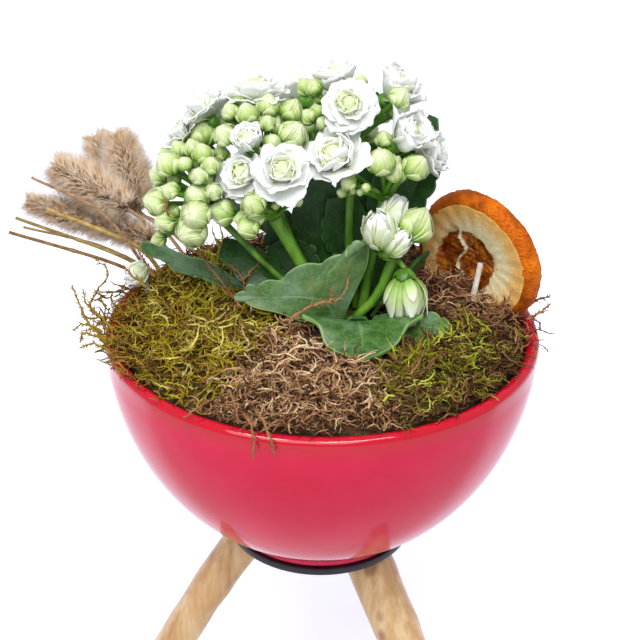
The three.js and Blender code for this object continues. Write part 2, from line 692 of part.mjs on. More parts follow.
const LEAVES = {
  leaf_front_left: {
    rib: [[5, -15, 7], [0, -17, 14], [-13, -20, 18], [-23, -19, 19], [-30, -17, 19]],
    left: [[4, -15.5, 6], [0, -18, 9], [-11, -22, 12], [-23, -21, 14], [-30, -18, 17]],
    right: [[6.5, -15.2, 8.5], [16, -9, 34], [4, -12, 36], [-9, -15, 32], [-21, -17, 26], [-29, -16, 21]],
    lobes: 6,
    cells: 2,
  },
  leaf_front: {
    rib: [[11, -15, 7], [13, -23, 12], [14, -31, 14], [14, -38, 12], [14, -43, 10]],
    left: [[9, -15, 7], [-4, -24, 15], [-5, -28, 18], [4, -38, 12], [11, -43, 10]],
    right: [[13, -15, 7], [28, -21, 12], [31, -25, 15], [24, -37, 12], [17, -43, 10]],
    lobes: 4,
    cells: 2,
  },
  leaf_right_low: ovate({
    rib: [[18, -12, 8], [28, -14, 12], [38, -15, 13], [46, -16, 11]],
    across: [0.1, 1, 0.15],
    half: 8,
    lobes: 4,
  }),
  leaf_left_low: ovate({
    rib: [[0, -4, 7], [-24, 5, 18], [-48, 10, 22], [-67, 12, 25]],
    across: [0.1, 0.9, 0.45],
    half: 10,
    lobes: 5,
  }),
  leaf_left_mid: ovate({
    rib: [[0, -10, 7], [-13, -7, 18], [-25, -3, 26], [-36, 1, 32]],
    across: [0.2, 0.75, 0.5],
    half: 7,
    cup: 1.5,
    lobes: 5,
  }),
  leaf_inner_left: ovate({
    rib: [[0, 0, 8], [-6, 5, 17], [-11, 7.5, 25], [-14, 8.5, 33]],
    across: [0.85, -0.1, 0.4],
    half: 9,
    lobes: 4,
  }),
  leaf_inner: ovate({
    rib: [[15, 0, 8], [13.5, 5.5, 20], [9.5, 8.5, 32], [6, 10, 47]],
    across: [1, 0.1, 0.1],
    half: 10,
    lobes: 4,
  }),
  leaf_right_tall: ovate({
    rib: [[18, -2, 9], [27, 8, 34], [34, 13, 58], [40, 17, 82]],
    across: [0.9, -0.25, -0.35],
    half: 13,
    cup: -1.5,
    lobes: 5,
    cells: 2,
  }),
  leaf_right_mid: ovate({
    rib: [[18, -8, 8], [27, -7, 18], [35, -6, 27], [42, -4, 35]],
    across: [0.3, -0.6, 0.5],
    half: 8,
    lobes: 4,
  }),
  leaf_small: ovate({
    rib: [[12, -15, 10], [12.3, -15.6, 13], [12.6, -16.2, 16], [13, -17, 20]],
    across: [1, 0, 0],
    half: 5,
    lobes: 3,
  }),
  leaf_back_left: ovate({
    rib: [[4, 5, 8], [-8, 18, 25], [-26, 32, 34], [-40, 41, 38]],
    across: [0.6, 0.75, -0.3],
    half: 13,
    cup: 1.5,
    lobes: 5,
  }),
  leaf_back: ovate({
    rib: [[9, 4, 6], [11, 24, 20], [12, 42, 28], [13, 58, 27]],
    across: [1, 0, 0.1],
    half: 13,
    cup: -2,
    lobes: 5,
  }),
  leaf_back_right: ovate({
    rib: [[12.2, 1.2, 7.5], [19, 18, 26], [23.5, 33, 34.5], [26, 47, 36]],
    across: [0.85, -0.4, 0.3],
    half: 9,
    cup: 1.5,
    lobes: 5,
  }),
};

// Dried grasses

// Fluffy seed heads: from base to tip, with the widest radius; their stalks enter the moss.
const TAILS = [
  { name: 'tail_right', base: [-72, 44, 25], tip: [-79, 48, 54], girth: 6.8, foot: [-50, 41, 0] },
  { name: 'tail_back', base: [-77, 55, 21], tip: [-90, 60, 47], girth: 6, foot: [-45, 46, 0] },
  { name: 'tail_upper', base: [-75, 34, 30], tip: [-101, 34, 46], girth: 6.4, foot: [-58, 46, 0] },
  { name: 'tail_low', base: [-65, 36, 16], tip: [-113, 32, 33], girth: 6, foot: [-56, 34, 0] },
];

// A seed head bristles: every other corner of the egg stands out and leans to the tip.
function tail({ base, tip, girth, foot }) {
  const steps = 6;
  const sides = 8;
  const start = vec(base);
  const length = start.distanceTo(vec(tip));
  const geometry = new THREE.SphereGeometry(1, sides, steps).scale(girth, length / 2, girth);
  const spot = geometry.attributes.position;
  for (let i = 0; i < spot.count; i += 1) {
    const [x, y, z] = [spot.getX(i), spot.getY(i), spot.getZ(i)];
    const ring = Math.round((Math.acos((2 * y) / length) / Math.PI) * steps);
    const corner = Math.round((Math.atan2(z, x) / (2 * Math.PI)) * sides + sides);
    const raised = (ring + corner) % 2 === 0 && ring > 0 && ring < steps;
    const stretch = raised ? 1.16 : 0.9;
    spot.setXYZ(i, x * stretch, y + (raised ? 0.05 * length : 0), z * stretch);
  }
  const middle = start.clone().lerp(vec(tip), 0.5);
  const direction = vec(tip).sub(start);
  const bend = vec(foot).lerp(start, 0.6).add(new THREE.Vector3(1, 0, 2));
  return [
    aim(geometry, middle.toArray(), direction.toArray()),
    stalk([foot, bend.toArray(), base, middle.toArray()], [0.8, 0.7], 4, 3),
  ];
}

// Straws from the moss to their cut ends.
const STRAWS = [
  { name: 'straw_rust', foot: [-63, 25, 1], middle: [-82, 23, 32], tip: [-107, 18, 49], girth: 0.7 },
  { name: 'straw_gold', foot: [-59, 31.5, 1], middle: [-71, 28, 17], tip: [-102, 17, 37], girth: 0.9 },
  { name: 'straw_olive', foot: [-64, 22.5, 1], middle: [-75, 22, 15], tip: [-113, 13, 35], girth: 0.8 },
  { name: 'straw_brown', foot: [-67, 20, 1], middle: [-77, 19.5, 13], tip: [-115, 9, 31], girth: 0.8 },
  { name: 'straw_thin', foot: [-56, 28.5, 1], middle: [-84, 27, 17], tip: [-112, 20, 28], girth: 0.6 },
];

// Dried orange slice

const SLICE_AT = [56, 17, 18.5];
const SLICE_AZIMUTH = 231;

// An end slice: rind outside, a sloping ring of pith, and shrunken flesh between raised walls.
function orangeSlice() {
  const r = SLICE_RADIUS;
  const t = SLICE_THICKNESS;
  const outline = [
    [0, -0.5 * t], [0.93 * r, -0.5 * t], [r, -0.3 * t], [0.97 * r, 0.2 * t], [0.9 * r, 0.5 * t],
    [0.84 * r, 0.4 * t], [0.64 * r, 0.05 * t], [0.34 * r, -0.12 * t], [0, 0.02 * t],
  ];
  const profile = outline.map(([x, y]) => new THREE.Vector2(x, y));
  const geometry = new THREE.LatheGeometry(profile, SLICE_SEGMENTS);
  const spot = geometry.attributes.position;
  for (let i = 0; i < spot.count; i += 1) {
    const [x, y, z] = [spot.getX(i), spot.getY(i), spot.getZ(i)];
    const radius = Math.hypot(x, z);
    const turn = Math.atan2(z, x);
    const column = Math.round((turn / (2 * Math.PI)) * SLICE_SEGMENTS + SLICE_SEGMENTS);
    const onFlesh = y > -0.3 * t && radius > 0.2 * r && radius < 0.8 * r;
    const wall = onFlesh && column % 3 === 0 ? 1.3 : 0;
    const warp = 0.9 * Math.sin(2 * turn + 0.6) * (radius / r) ** 2;
    const swell = 1 + 0.02 * Math.sin(3 * turn + 1);
    spot.setXYZ(i, x * swell, y + wall + warp, z * swell);
  }
  return outwards(aim(geometry, SLICE_AT, sliceFacing()));
}

function sliceFacing() {
  const turn = THREE.MathUtils.degToRad(SLICE_AZIMUTH);
  return [Math.cos(turn), Math.sin(turn), -0.05];
}

// A plain disc as large as the slice.
function sliceRoom() {
  const radius = 1.05 * SLICE_RADIUS;
  const disc = new THREE.CylinderGeometry(radius, radius, 1.35 * SLICE_THICKNESS, 16);
  return aim(disc, SLICE_AT, sliceFacing());
}

place('crown', 'stem', [crown()]);
for (const [head, each] of Object.entries(SPRAYS)) place(`spray_${head}`, 'bud', spray(each));

for (const [head, list] of Object.entries(FLORETS)) {
  list.forEach((each, i) => place(`floret_${head}_${i + 1}`, 'petal', [floret(each)]));
}
place('floret_low', 'petal', LOW_FLORETS.map(floret));
place('floret_hanging', 'petal', [floret(HANGING_FLORET)]);
place('floret_tucked', 'petal', [
  floret(TUCKED_FLORET),
  stalk([[-64, 15, -1], [-67, 17, 6], [-69.2, 18.3, 13.5]], [1, 1.4], 5, 3),
]);

for (const [name, outline] of Object.entries(LEAVES)) place(name, 'leaf', [blade(outline)]);
for (const each of TAILS) place(each.name, 'tail', tail(each));
for (const { name, foot, middle, tip, girth } of STRAWS) {
  place(name, 'straw', [stalk([foot, middle, tip], [girth, 0.8 * girth], 4, 3)]);
}
place('orange_slice', 'rind', [orangeSlice()], [sliceRoom()]);
place('soil', 'soil', [soil()]);
for (const { name, look, from, to } of MOSS_PADS) place(name, look, [mossPad(from, to)]);

// The floor is height zero and the origin lies under the middle of the whole outline.
const outline = new THREE.Box3().setFromObject(plant, true);
const centre = outline.getCenter(new THREE.Vector3());
plant.position.set(-centre.x, -centre.y, -floorHeight);

export default plant;
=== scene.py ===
# %% [markdown]
# # A potted kalanchoe, finished in Blender
#
# The construction is already there: every stem, floret, leaf and pad has its place and size. This
# lesson gives each of them its real surface. It starts by loading that construction, and it
# measures the bowl, because everything else is planted in it.

# %% Load the construction
import math
import random

import bmesh
import bpy
import numpy as np
from mathutils import Matrix, Vector


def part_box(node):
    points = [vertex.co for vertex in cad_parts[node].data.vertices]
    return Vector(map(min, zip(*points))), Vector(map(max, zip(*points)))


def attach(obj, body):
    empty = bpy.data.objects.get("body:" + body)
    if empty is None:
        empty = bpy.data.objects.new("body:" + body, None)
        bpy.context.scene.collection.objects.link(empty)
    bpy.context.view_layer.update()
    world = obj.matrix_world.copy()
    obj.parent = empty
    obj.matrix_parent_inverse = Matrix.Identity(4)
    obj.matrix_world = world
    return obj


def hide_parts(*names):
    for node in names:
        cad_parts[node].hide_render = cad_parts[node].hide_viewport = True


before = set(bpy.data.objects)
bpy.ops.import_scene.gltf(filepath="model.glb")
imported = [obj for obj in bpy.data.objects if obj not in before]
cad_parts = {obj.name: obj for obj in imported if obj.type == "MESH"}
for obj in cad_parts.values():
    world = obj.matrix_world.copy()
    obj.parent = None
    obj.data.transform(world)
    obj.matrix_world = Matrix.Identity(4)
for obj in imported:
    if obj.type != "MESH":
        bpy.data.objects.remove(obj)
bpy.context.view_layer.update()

MM = 0.001
bowl_low, bowl_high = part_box("bowl")
RIM = Vector(((bowl_low.x + bowl_high.x) / 2, (bowl_low.y + bowl_high.y) / 2, bowl_high.z))
RIM_RADIUS = round((bowl_high.x - bowl_low.x) / 2 / MM)
print("rim at", [round(c / MM, 2) for c in RIM], "mm, radius", RIM_RADIUS)


def at(x, y, z):
    """A place on the plan, in millimetres from the middle of the rim, as a point in metres."""
    return RIM + Vector((x, y, z)) * MM


# %% [markdown]
# ## Camera
#
# The photograph looks down on the plant from a little above. A camera looks along its own minus Z
# axis, so its three axes are built from the sight line here, which is more exact than turning it
# by eye. It also leans by less than a degree, as in the photograph.

# %% Set up the camera
ELEVATION = math.radians(28.61)
LEAN = math.radians(-0.91)
DISTANCE = 555 * MM
FILM_WIDTH = 36
LENS = 84.375
SHIFT = (-0.00375, 0.0055)
sight = Vector((0, math.cos(ELEVATION), -math.sin(ELEVATION)))
level = Vector((1, 0, 0))
upright = Vector((0, math.sin(ELEVATION), math.cos(ELEVATION)))
right_hand = math.cos(LEAN) * level - math.sin(LEAN) * upright
overhead = math.sin(LEAN) * level + math.cos(LEAN) * upright

bpy.ops.object.camera_add(location=RIM - sight * DISTANCE)
camera = bpy.context.object
camera.name = "camera"
camera.rotation_mode = "QUATERNION"
camera.rotation_quaternion = Matrix((right_hand, overhead, -sight)).transposed().to_quaternion()
camera.data.sensor_width = FILM_WIDTH
camera.data.lens = LENS
camera.data.shift_x, camera.data.shift_y = SHIFT
bpy.context.scene.camera = camera
print("camera stands", round(camera.location.z / MM), "mm above the floor")

# %% [markdown]
# ## Shader maths in plain expressions
#
# A material is a graph of nodes, but it reads best as a formula. `Wire` stands for one output
# socket, and arithmetic on it adds the Math nodes, also with a plain number in front, as in
# 1 - mask. `Surface` holds one material: its `node` method makes any other node, and short methods
# name the few that come back all the time.


# %% Wires and surfaces
class Wire:
    """One output of a node; arithmetic on it adds Math nodes."""

    def __init__(self, surface, socket):
        self.surface = surface
        self.socket = socket

    def maths(self, operation, *values):
        return self.surface.node("Math", dict(enumerate(values)), operation=operation)

    def __add__(self, other):
        return self.maths("ADD", self, other)

    def __radd__(self, other):
        return self.maths("ADD", other, self)

    def __sub__(self, other):
        return self.maths("SUBTRACT", self, other)

    def __rsub__(self, other):
        return self.maths("SUBTRACT", other, self)

    def __mul__(self, other):
        return self.maths("MULTIPLY", self, other)

    def __rmul__(self, other):
        return self.maths("MULTIPLY", other, self)

    def __truediv__(self, other):
        return self.maths("DIVIDE", self, other)

    def __rtruediv__(self, other):
        return self.maths("DIVIDE", other, self)

    def sine(self):
        return self.maths("SINE", self)

    def size(self):
        return self.maths("ABSOLUTE", self)

    def root(self):
        return self.maths("SQRT", self)


class Surface:
    """One material: the main shader and the wires that feed it."""

    def __init__(self, name, **uniform):
        self.material = bpy.data.materials.new(name)
        self.material.use_nodes = True
        self.tree = self.material.node_tree
        self.shader = self.tree.nodes["Principled BSDF"]
        for key, value in uniform.items():
            self.shader.inputs[key.replace("_", " ")].default_value = value

    def plug(self, socket, value):
        """Links a wire to a socket, or sets the socket's own value."""
        if isinstance(value, Wire):
            self.tree.links.new(value.socket, socket)
        elif isinstance(value, (tuple, list)) and socket.type == "RGBA":
            socket.default_value = (*value[:3], 1)
        else:
            socket.default_value = value

    def node(self, kind, inputs=(), output=0, stops=(), **settings):
        """Adds a node: its settings and ramp stops first, then what goes into its sockets."""
        made = self.tree.nodes.new("ShaderNode" + kind)
        for key, value in settings.items():
            setattr(made, key, value)
        if stops:
            ramp = made.color_ramp.elements
            while len(ramp) < len(stops):
                ramp.new(0.5)
            for element, (place, colour) in zip(ramp, stops):
                element.position = place
                element.color = (*colour, 1)
        for key, value in dict(inputs).items():
            self.plug(made.inputs[key], value)
        return Wire(self, made.outputs[output])

    def place(self, scale=(1, 1, 1), rotation=(0, 0, 0)):
        """The place on the piece, for patterns, stretched and turned."""
        spot = self.node("TexCoord", output="Object")
        return self.node("Mapping", {"Vector": spot, "Scale": scale, "Rotation": rotation})

    def noise(self, scale, detail=3, place=None):
        inputs = {"Vector": place or self.place(), "Scale": scale, "Detail": detail, "Roughness": 0.55}
        return self.node("TexNoise", inputs)

    def cells(self, scale, place=None):
        """The distance to the nearest of many scattered points."""
        return self.node("TexVoronoi", {"Vector": place or self.place(), "Scale": scale}, "Distance")

    def ramp(self, factor, *stops):
        return self.node("ValToRGB", {"Fac": factor}, stops=stops)

    def step(self, value, low, high):
        """Rises from 0 to 1 while the value goes from low to high."""
        inputs = {"Value": value, "From Min": low, "From Max": high}
        return self.node("MapRange", inputs, interpolation_type="SMOOTHSTEP")

    def mix(self, factor, first, second):
        """Mixes two colours."""
        inputs = {0: factor, 6: first, 7: second}
        return self.node("Mix", inputs, output=2, data_type="RGBA")

    def across(self):
        """The two directions of the piece's own UV map."""
        parts = self.node("SeparateXYZ", {0: self.node("UVMap")})
        return parts, Wire(self, parts.socket.node.outputs[1])

    def tint(self):
        """The value that each copy carries for itself."""
        return self.node("Attribute", output="Fac", attribute_name="tint")

    def spot(self):
        """The place on the piece along X, Y and Z, in metres."""
        parts = self.node("SeparateXYZ", {0: self.node("TexCoord", output="Object")})
        return [Wire(self, socket) for socket in parts.socket.node.outputs]

    def height(self):
        """Height over the plane of the rim, in metres."""
        return self.spot()[2] - RIM.z

    def colour(self, value):
        self.plug(self.shader.inputs["Base Color"], value)

    def rough(self, value):
        self.plug(self.shader.inputs["Roughness"], value)

    def coat(self, value):
        self.plug(self.shader.inputs["Coat Weight"], value)

    def relief(self, value, distance, strength=1.0):
        """Bumps as high as the distance, in mm, where the value is 1."""
        inputs = {"Height": value, "Distance": distance * MM, "Strength": strength}
        self.plug(self.shader.inputs["Normal"], self.node("Bump", inputs))


def tell(*surfaces):
    """Prints how many nodes each surface has."""
    for each in surfaces:
        print(each.material.name, "has", len(each.tree.nodes), "nodes")


def rgb(red, green, blue):
    """A colour as the eye reads it on a screen, 0 to 255, turned into the light it reflects."""
    return tuple(
        c / 12.92 if c <= 0.04045 else ((c + 0.055) / 1.055) ** 2.4
        for c in (red / 255, green / 255, blue / 255)
    )


# %% [markdown]
# ## Room: floor and light
#
# The picture has a plain white ground and soft light from a large room. A photographer gets that
# with a big pale floor whose far half is lit from within: the ground goes white, and the front
# half stays calmer, so that it doesn't wash out the glaze that mirrors it. A wide soft panel over
# the front models the plant, and two narrow ones lay the two thin highlights on the rim.

# %% Lay the floor and hang the lights
scene = bpy.context.scene
scene.view_settings.view_transform = "Standard"
FLOOR_SIZE = 12
FLOOR_MIDDLE = (0, 2, 0)
LIT_FROM = (-0.03, 0.055)
GLOW_FADES = (0.1, 1.2)

bpy.ops.mesh.primitive_plane_add(size=FLOOR_SIZE, location=FLOOR_MIDDLE)
floor = bpy.context.object
floor.name = "floor"
bpy.ops.object.transform_apply(location=True)
paper = Surface("floor_paper", Roughness=0.9, Specular_IOR_Level=0.1)
paper.colour(paper.ramp(paper.noise(3, 2), (0.3, (0.80, 0.80, 0.81)), (0.7, (0.82, 0.82, 0.83))))
far_half = paper.step(paper.spot()[1], *LIT_FROM)
glow = paper.mix(paper.step(paper.spot()[1], *GLOW_FADES), (0.5, 0.52, 0.66), (0.68, 0.69, 0.78))
paper.plug(paper.shader.inputs["Emission Color"], paper.mix(far_half, (0, 0, 0), glow))
paper.shader.inputs["Emission Strength"].default_value = 1
floor.data.materials.append(paper.material)

world = bpy.data.worlds.new("soft_room")
scene.world = world
world.use_nodes = True
background = world.node_tree.nodes["Background"]
background.inputs["Color"].default_value = (0.88, 0.91, 1.0, 1)
background.inputs["Strength"].default_value = 0.5


def panel(name, azimuth, elevation, distance, width, height, power):
    """A soft panel; azimuth 0 stands behind the camera and 90 at its right."""
    turn, rise = math.radians(azimuth), math.radians(elevation)
    away = Vector((
        math.sin(turn) * math.cos(rise), -math.cos(turn) * math.cos(rise), math.sin(rise),
    ))
    bpy.ops.object.light_add(type="AREA", location=RIM + away * distance)
    light = bpy.context.object
    light.name = name
    light.rotation_mode = "QUATERNION"
    light.rotation_quaternion = away.to_track_quat("Z", "Y")
    light.data.shape = "RECTANGLE"
    light.data.size = width
    light.data.size_y = height
    light.data.energy = power


panel("panel_wide", -16, 50, 1.5, 1.5, 1.0, 15)
panel("panel_right", 26, 62, 1.2, 0.55, 0.2, 4)
panel("panel_left", -42, 62, 1.2, 0.35, 0.2, 3)

# %% [markdown]
# ## Hand tools
#
# A few moves come back in every piece: clear the selection, choose vertices by their place, raise
# a circle ring by ring, apply a modifier, lay out a grid by a rule, and hand the finished piece
# over. They are written once here.


# %% Selecting, shaping and finishing
def calm():
    """Leaves edit mode and clears the selection."""
    if bpy.context.object and bpy.context.object.mode != "OBJECT":
        bpy.ops.object.mode_set(mode="OBJECT")
    bpy.ops.object.select_all(action="DESELECT")


def hold(*pieces):
    """Selects only these pieces; the first is the active one."""
    calm()
    for piece in pieces:
        piece.select_set(True)
    bpy.context.view_layer.objects.active = pieces[0]


def choose(test):
    """In edit mode, selects the vertices whose place passes the test."""
    mesh = bpy.context.edit_object.data
    body = bmesh.from_edit_mesh(mesh)
    body.select_mode = {"VERT"}
    for vertex in body.verts:
        vertex.select = bool(test(vertex.co))
    body.select_flush_mode()
    bmesh.update_edit_mesh(mesh)


def raised(radius, sides, start, rings, rotation=(0, 0, 0)):
    """A filled circle extruded ring by ring, in metres; a ring is (move, scale, centre)."""
    calm()
    bpy.ops.mesh.primitive_circle_add(
        vertices=sides, radius=radius, fill_type="NGON", location=start, rotation=rotation,
    )
    piece = bpy.context.object
    bpy.ops.object.mode_set(mode="EDIT")
    for move, scale, centre in rings:
        bpy.ops.mesh.extrude_region_move(TRANSFORM_OT_translate={"value": move})
        bpy.ops.transform.resize(value=(scale, scale, scale), center_override=centre)
    bpy.ops.mesh.select_all(action="SELECT")
    bpy.ops.mesh.normals_make_consistent(inside=False)
    bpy.ops.object.mode_set(mode="OBJECT")
    bpy.ops.object.transform_apply(location=True, rotation=True, scale=True)
    return piece


def turned(name, profile, sides, base=(0, 0, 0)):
    """A closed turned shape; its profile is a list of (radius, height) in mm over the base."""
    def middle(height):
        return Vector(base) + Vector((0, 0, height)) * MM

    rings = [
        ((0, 0, (z1 - z0) * MM), r1 / r0, middle(z1))
        for (r0, z0), (r1, z1) in zip(profile, profile[1:])
    ]
    radius, height = profile[0]
    piece = raised(radius * MM, sides, middle(height), rings)
    piece.name = piece.data.name = name
    return piece


def apply(piece, kind, **settings):
    """Adds a modifier, sets it up and applies it."""
    modifier = piece.modifiers.new(kind.lower(), kind)
    for key, value in settings.items():
        setattr(modifier, key, value)
    hold(piece)
    bpy.ops.object.modifier_apply(modifier=modifier.name)
    return piece


def smooth(piece, angle=None):
    """Shades a piece smooth, all over or only where its faces meet at less than the angle."""
    hold(piece)
    if angle is None:
        bpy.ops.object.shade_smooth()
    else:
        bpy.ops.object.shade_smooth_by_angle(angle=math.radians(angle))
    return piece


def lay_uv(piece, rule):
    """Writes the UV map from a rule on the place of each corner."""
    mesh = piece.data
    layer = mesh.uv_layers.active or mesh.uv_layers.new(name="UVMap")
    for loop in mesh.loops:
        layer.data[loop.index].uv = rule(mesh.vertices[loop.vertex_index].co)


def scatter(seed):
    """A fixed draw between 0 and 1 for a number."""
    value = math.sin(seed * 12.9898) * 43758.5453
    return value - math.floor(value)


def clamped(value):
    """The value, kept between 0 and 1."""
    return min(max(value, 0), 1)


def eased(values, reach):
    """The value at a fractional place in a list, between its two neighbours."""
    k = min(int(reach), len(values) - 2)
    return values[k] + (values[k + 1] - values[k]) * (reach - k)


def laid(name, along, across, thickness, rule):
    """A grid laid out by a rule on u, 0 to 1 along it, and v, -1 to 1 across, then made solid."""
    calm()
    bpy.ops.mesh.primitive_grid_add(x_subdivisions=along, y_subdivisions=across, size=1)
    piece = bpy.context.object
    for vertex in piece.data.vertices:
        vertex.co = rule(vertex.co.x + 0.5, 2 * vertex.co.y)
    apply(piece, "SOLIDIFY", thickness=thickness, offset=0)
    piece.name = piece.data.name = name
    return smooth(piece)


def hand_over(piece, slot, replaced=(), surfaces=()):
    """Gives a finished piece its surfaces and its place in the construction."""
    if surfaces:
        piece.data.materials.clear()
        for surface in surfaces:
            piece.data.materials.append(surface.material)
    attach(piece, "root")
    if replaced:
        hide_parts(*replaced)
    piece.data.calc_loop_triangles()
    print(f"{piece.name}: {len(piece.data.loop_triangles)} triangles")


# %% [markdown]
# ## The glazed bowl
#
# The bowl is thrown or cast earthenware under a thick red glaze: its belly is half an ellipse, the
# lip is round and the foot is short. It could be spun from a drawn section, but extruding a circle
# ring by ring keeps the wall closed at both middles and the rings evenly spread.

# %% Turn the bowl
BELLY_DEPTH = 91
BOWL_HEIGHT = 85
WALL = 5
BOWL_FLOOR = 8
FOOT_RADIUS = 35.7
BOWL_SIDES = 128
BELLY_RINGS = 30
INNER_RINGS = 24
LIP_STEPS = 10


def belly(inset, first, last, steps):
    """Points on the ellipse of the belly between two depths under the rim."""
    deep = BELLY_DEPTH - inset
    start, end = math.asin(first / deep), math.asin(last / deep)
    angles = [start + (end - start) * i / steps for i in range(steps + 1)]
    return [((RIM_RADIUS - inset) * math.cos(a), -deep * math.sin(a)) for a in angles]


foot_depth = BELLY_DEPTH * math.sin(math.acos(FOOT_RADIUS / RIM_RADIUS))
outer = belly(0, WALL / 2, foot_depth, BELLY_RINGS)
inner = belly(WALL, WALL / 2, BOWL_HEIGHT - BOWL_FLOOR, INNER_RINGS)
lip = []
for i in range(1, LIP_STEPS):
    angle = math.pi * i / LIP_STEPS
    lip.append((
        RIM_RADIUS - WALL / 2 + WALL / 2 * math.cos(angle), WALL / 2 * (math.sin(angle) - 1),
    ))
foot = [
    (FOOT_RADIUS - 1.2, -BOWL_HEIGHT), (FOOT_RADIUS - 0.3, -BOWL_HEIGHT + 0.4),
    (FOOT_RADIUS, -BOWL_HEIGHT + 1.2),
]
inside_floor = [(inner[-1][0] - 3, inner[-1][1]), (4, inner[-1][1])]
bowl = turned("glazed_bowl", foot + outer[::-1] + lip + inner + inside_floor, BOWL_SIDES, RIM)
smooth(bowl, 50)
print("bowl:", len(bowl.data.polygons), "faces")

# %% [markdown]
# Red glaze breaks: it runs thin and bright on the lip and lies thicker and a little milky on the
# belly, with a few pits and pale specks. The lip has a clear coat of gloss, so the lamps draw a
# thin line on it.

# %% Glaze
glaze = Surface("red_glaze", Roughness=0.09, Specular_IOR_Level=0.24, Coat_Roughness=0.03)
clouds = glaze.noise(28, 3)
belly_red = glaze.ramp(clouds, (0.3, rgb(207, 24, 62)), (0.7, rgb(220, 42, 80)))
lip_share = glaze.step(glaze.height(), -0.009, -0.002)
speck = glaze.step(glaze.cells(420), 0.06, 0.03) * glaze.step(glaze.noise(60, 1), 0.66, 0.72)
red = glaze.mix(lip_share, belly_red, rgb(196, 4, 36))
glaze.colour(glaze.mix(speck, red, rgb(235, 170, 165)))
glaze.coat(lip_share * 0.7)
glaze.relief(glaze.noise(34, 3) * 3 + glaze.noise(90, 2) + speck, 0.09, 0.4)
hand_over(bowl, "glaze", ["bowl"], [glaze])

# %% [markdown]
# ## Base plate and legs
#
# Under the bowl sits a flat disc of board painted black, and three peeled branches stand under
# it. A branch is not a cone: it has rings where twigs grew, it bends a little at each, and its
# ends are sawn level. So each leg is drawn out from a circle along its own crooked line and cut
# with two bisections.

# %% Cut the plate
PLATE_RADIUS = 36.4
plate_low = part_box("base_plate")[0]
plate_profile = [
    (PLATE_RADIUS - 0.8, 0), (PLATE_RADIUS - 0.2, 0.25), (PLATE_RADIUS, 0.8),
    (PLATE_RADIUS, 2.4), (PLATE_RADIUS - 0.2, 2.95), (PLATE_RADIUS - 0.8, 3.2), (8, 3.2),
]
plate = turned("black_plate", plate_profile, 96, (RIM.x, RIM.y, plate_low.z))
smooth(plate, 40)
black = Surface("black_paint", Roughness=0.42)
black.colour(black.ramp(black.noise(160, 3), (0.35, (0.008, 0.007, 0.012)), (0.7, (0.02, 0.017, 0.026))))
black.relief(black.noise(500, 2), 0.05, 0.4)
hand_over(plate, "plate", ["base_plate"], [black])

# %% Lines for the three legs
LEGS = [
    {"name": "leg_left", "azimuth": 180, "top": 25, "foot": 88, "seed": 1, "girth": 0.86},
    {"name": "leg_front", "azimuth": -42, "top": 22, "foot": 92, "seed": 2, "girth": 1},
    {"name": "leg_back", "azimuth": 69, "top": 24, "foot": 88, "seed": 3, "girth": 0.93},
]
LEG_SPARE = 8
LEG_KINK = 1.6
LEG_STEPS = 6
leg_drop = plate_low.z / MM
print("legs:", round(leg_drop), "mm from the floor to the plate")


def leg_line(azimuth, top, foot, seed):
    """The crooked middle line of a leg, in mm from the middle of the floor under the bowl."""
    turn = math.radians(azimuth)
    slope = (foot - top) / leg_drop
    line = []
    for i in range(LEG_STEPS + 1):
        height = leg_drop + LEG_SPARE - (leg_drop + 2 * LEG_SPARE) * i / LEG_STEPS
        out = top + slope * (leg_drop - height) + LEG_KINK * (scatter(seed + i) - 0.5)
        side = LEG_KINK * (scatter(seed * 7 + i) - 0.5)
        line.append(Vector((
            out * math.cos(turn) - side * math.sin(turn),
            out * math.sin(turn) + side * math.cos(turn),
            height,
        )))
    return line


# %% Draw out a leg
LEG_SIDES = 16
LEG_RADII = [9.6, 9.4, 9.2, 9.4, 8.6, 8, 7.6, 7.4]
LEG_RINGS = [(0, 0.42, 0.97), (0.42, 0.86, 1.035), (0.86, 1, 1)]
BARK_SCALE = 0.016
BARK_DEPTH = 1.1
SEAT_GAP = 0.4


def draw_leg(name, azimuth, top, foot, seed, girth):
    """A leg in three rings from bend to bend, with a swelling before each, and its direction."""
    radii = [girth * radius for radius in LEG_RADII]
    line = leg_line(azimuth, top, foot, seed)
    origin = Vector((RIM.x, RIM.y, 0))
    direction = (line[-1] - line[0]).normalized()
    rings = []
    radius = radii[0]
    for i, (a, b) in enumerate(zip(line, line[1:])):
        wanted = eased(radii, (i + 1) * (len(radii) - 1) / LEG_STEPS)
        for before, share, swell in LEG_RINGS:
            spot = a.lerp(b, share)
            size = wanted * swell
            rings.append(((spot - a.lerp(b, before)) * MM, size / radius, origin + spot * MM))
            radius = size
    piece = raised(
        radii[0] * MM, LEG_SIDES, origin + line[0] * MM, rings,
        direction.to_track_quat("Z", "Y").to_euler(),
    )
    apply(piece, "SUBSURF", levels=1, render_levels=1)
    wobble = bpy.data.textures.new(name + "_wobble", "CLOUDS")
    wobble.noise_scale = BARK_SCALE
    apply(piece, "DISPLACE", texture=wobble, strength=BARK_DEPTH * MM, mid_level=0.5)
    bpy.ops.object.mode_set(mode="EDIT")
    for height, clear_up in ((plate_low.z - SEAT_GAP * MM, 1), (0, -1)):
        bpy.ops.mesh.select_all(action="SELECT")
        bpy.ops.mesh.bisect(
            plane_co=(0, 0, height), plane_no=(0, 0, clear_up), use_fill=True, clear_outer=True,
        )
    bpy.ops.object.mode_set(mode="OBJECT")
    piece.name = piece.data.name = "branch_" + name
    smooth(piece, 45)
    return piece, direction


# %% [markdown]
# Peeled and varnished wood is cream to tan, with darker streaks that run along the branch and
# small brown scars where twigs were cut. The streaks come from a noise that is turned to the
# leg's own direction and stretched along it.


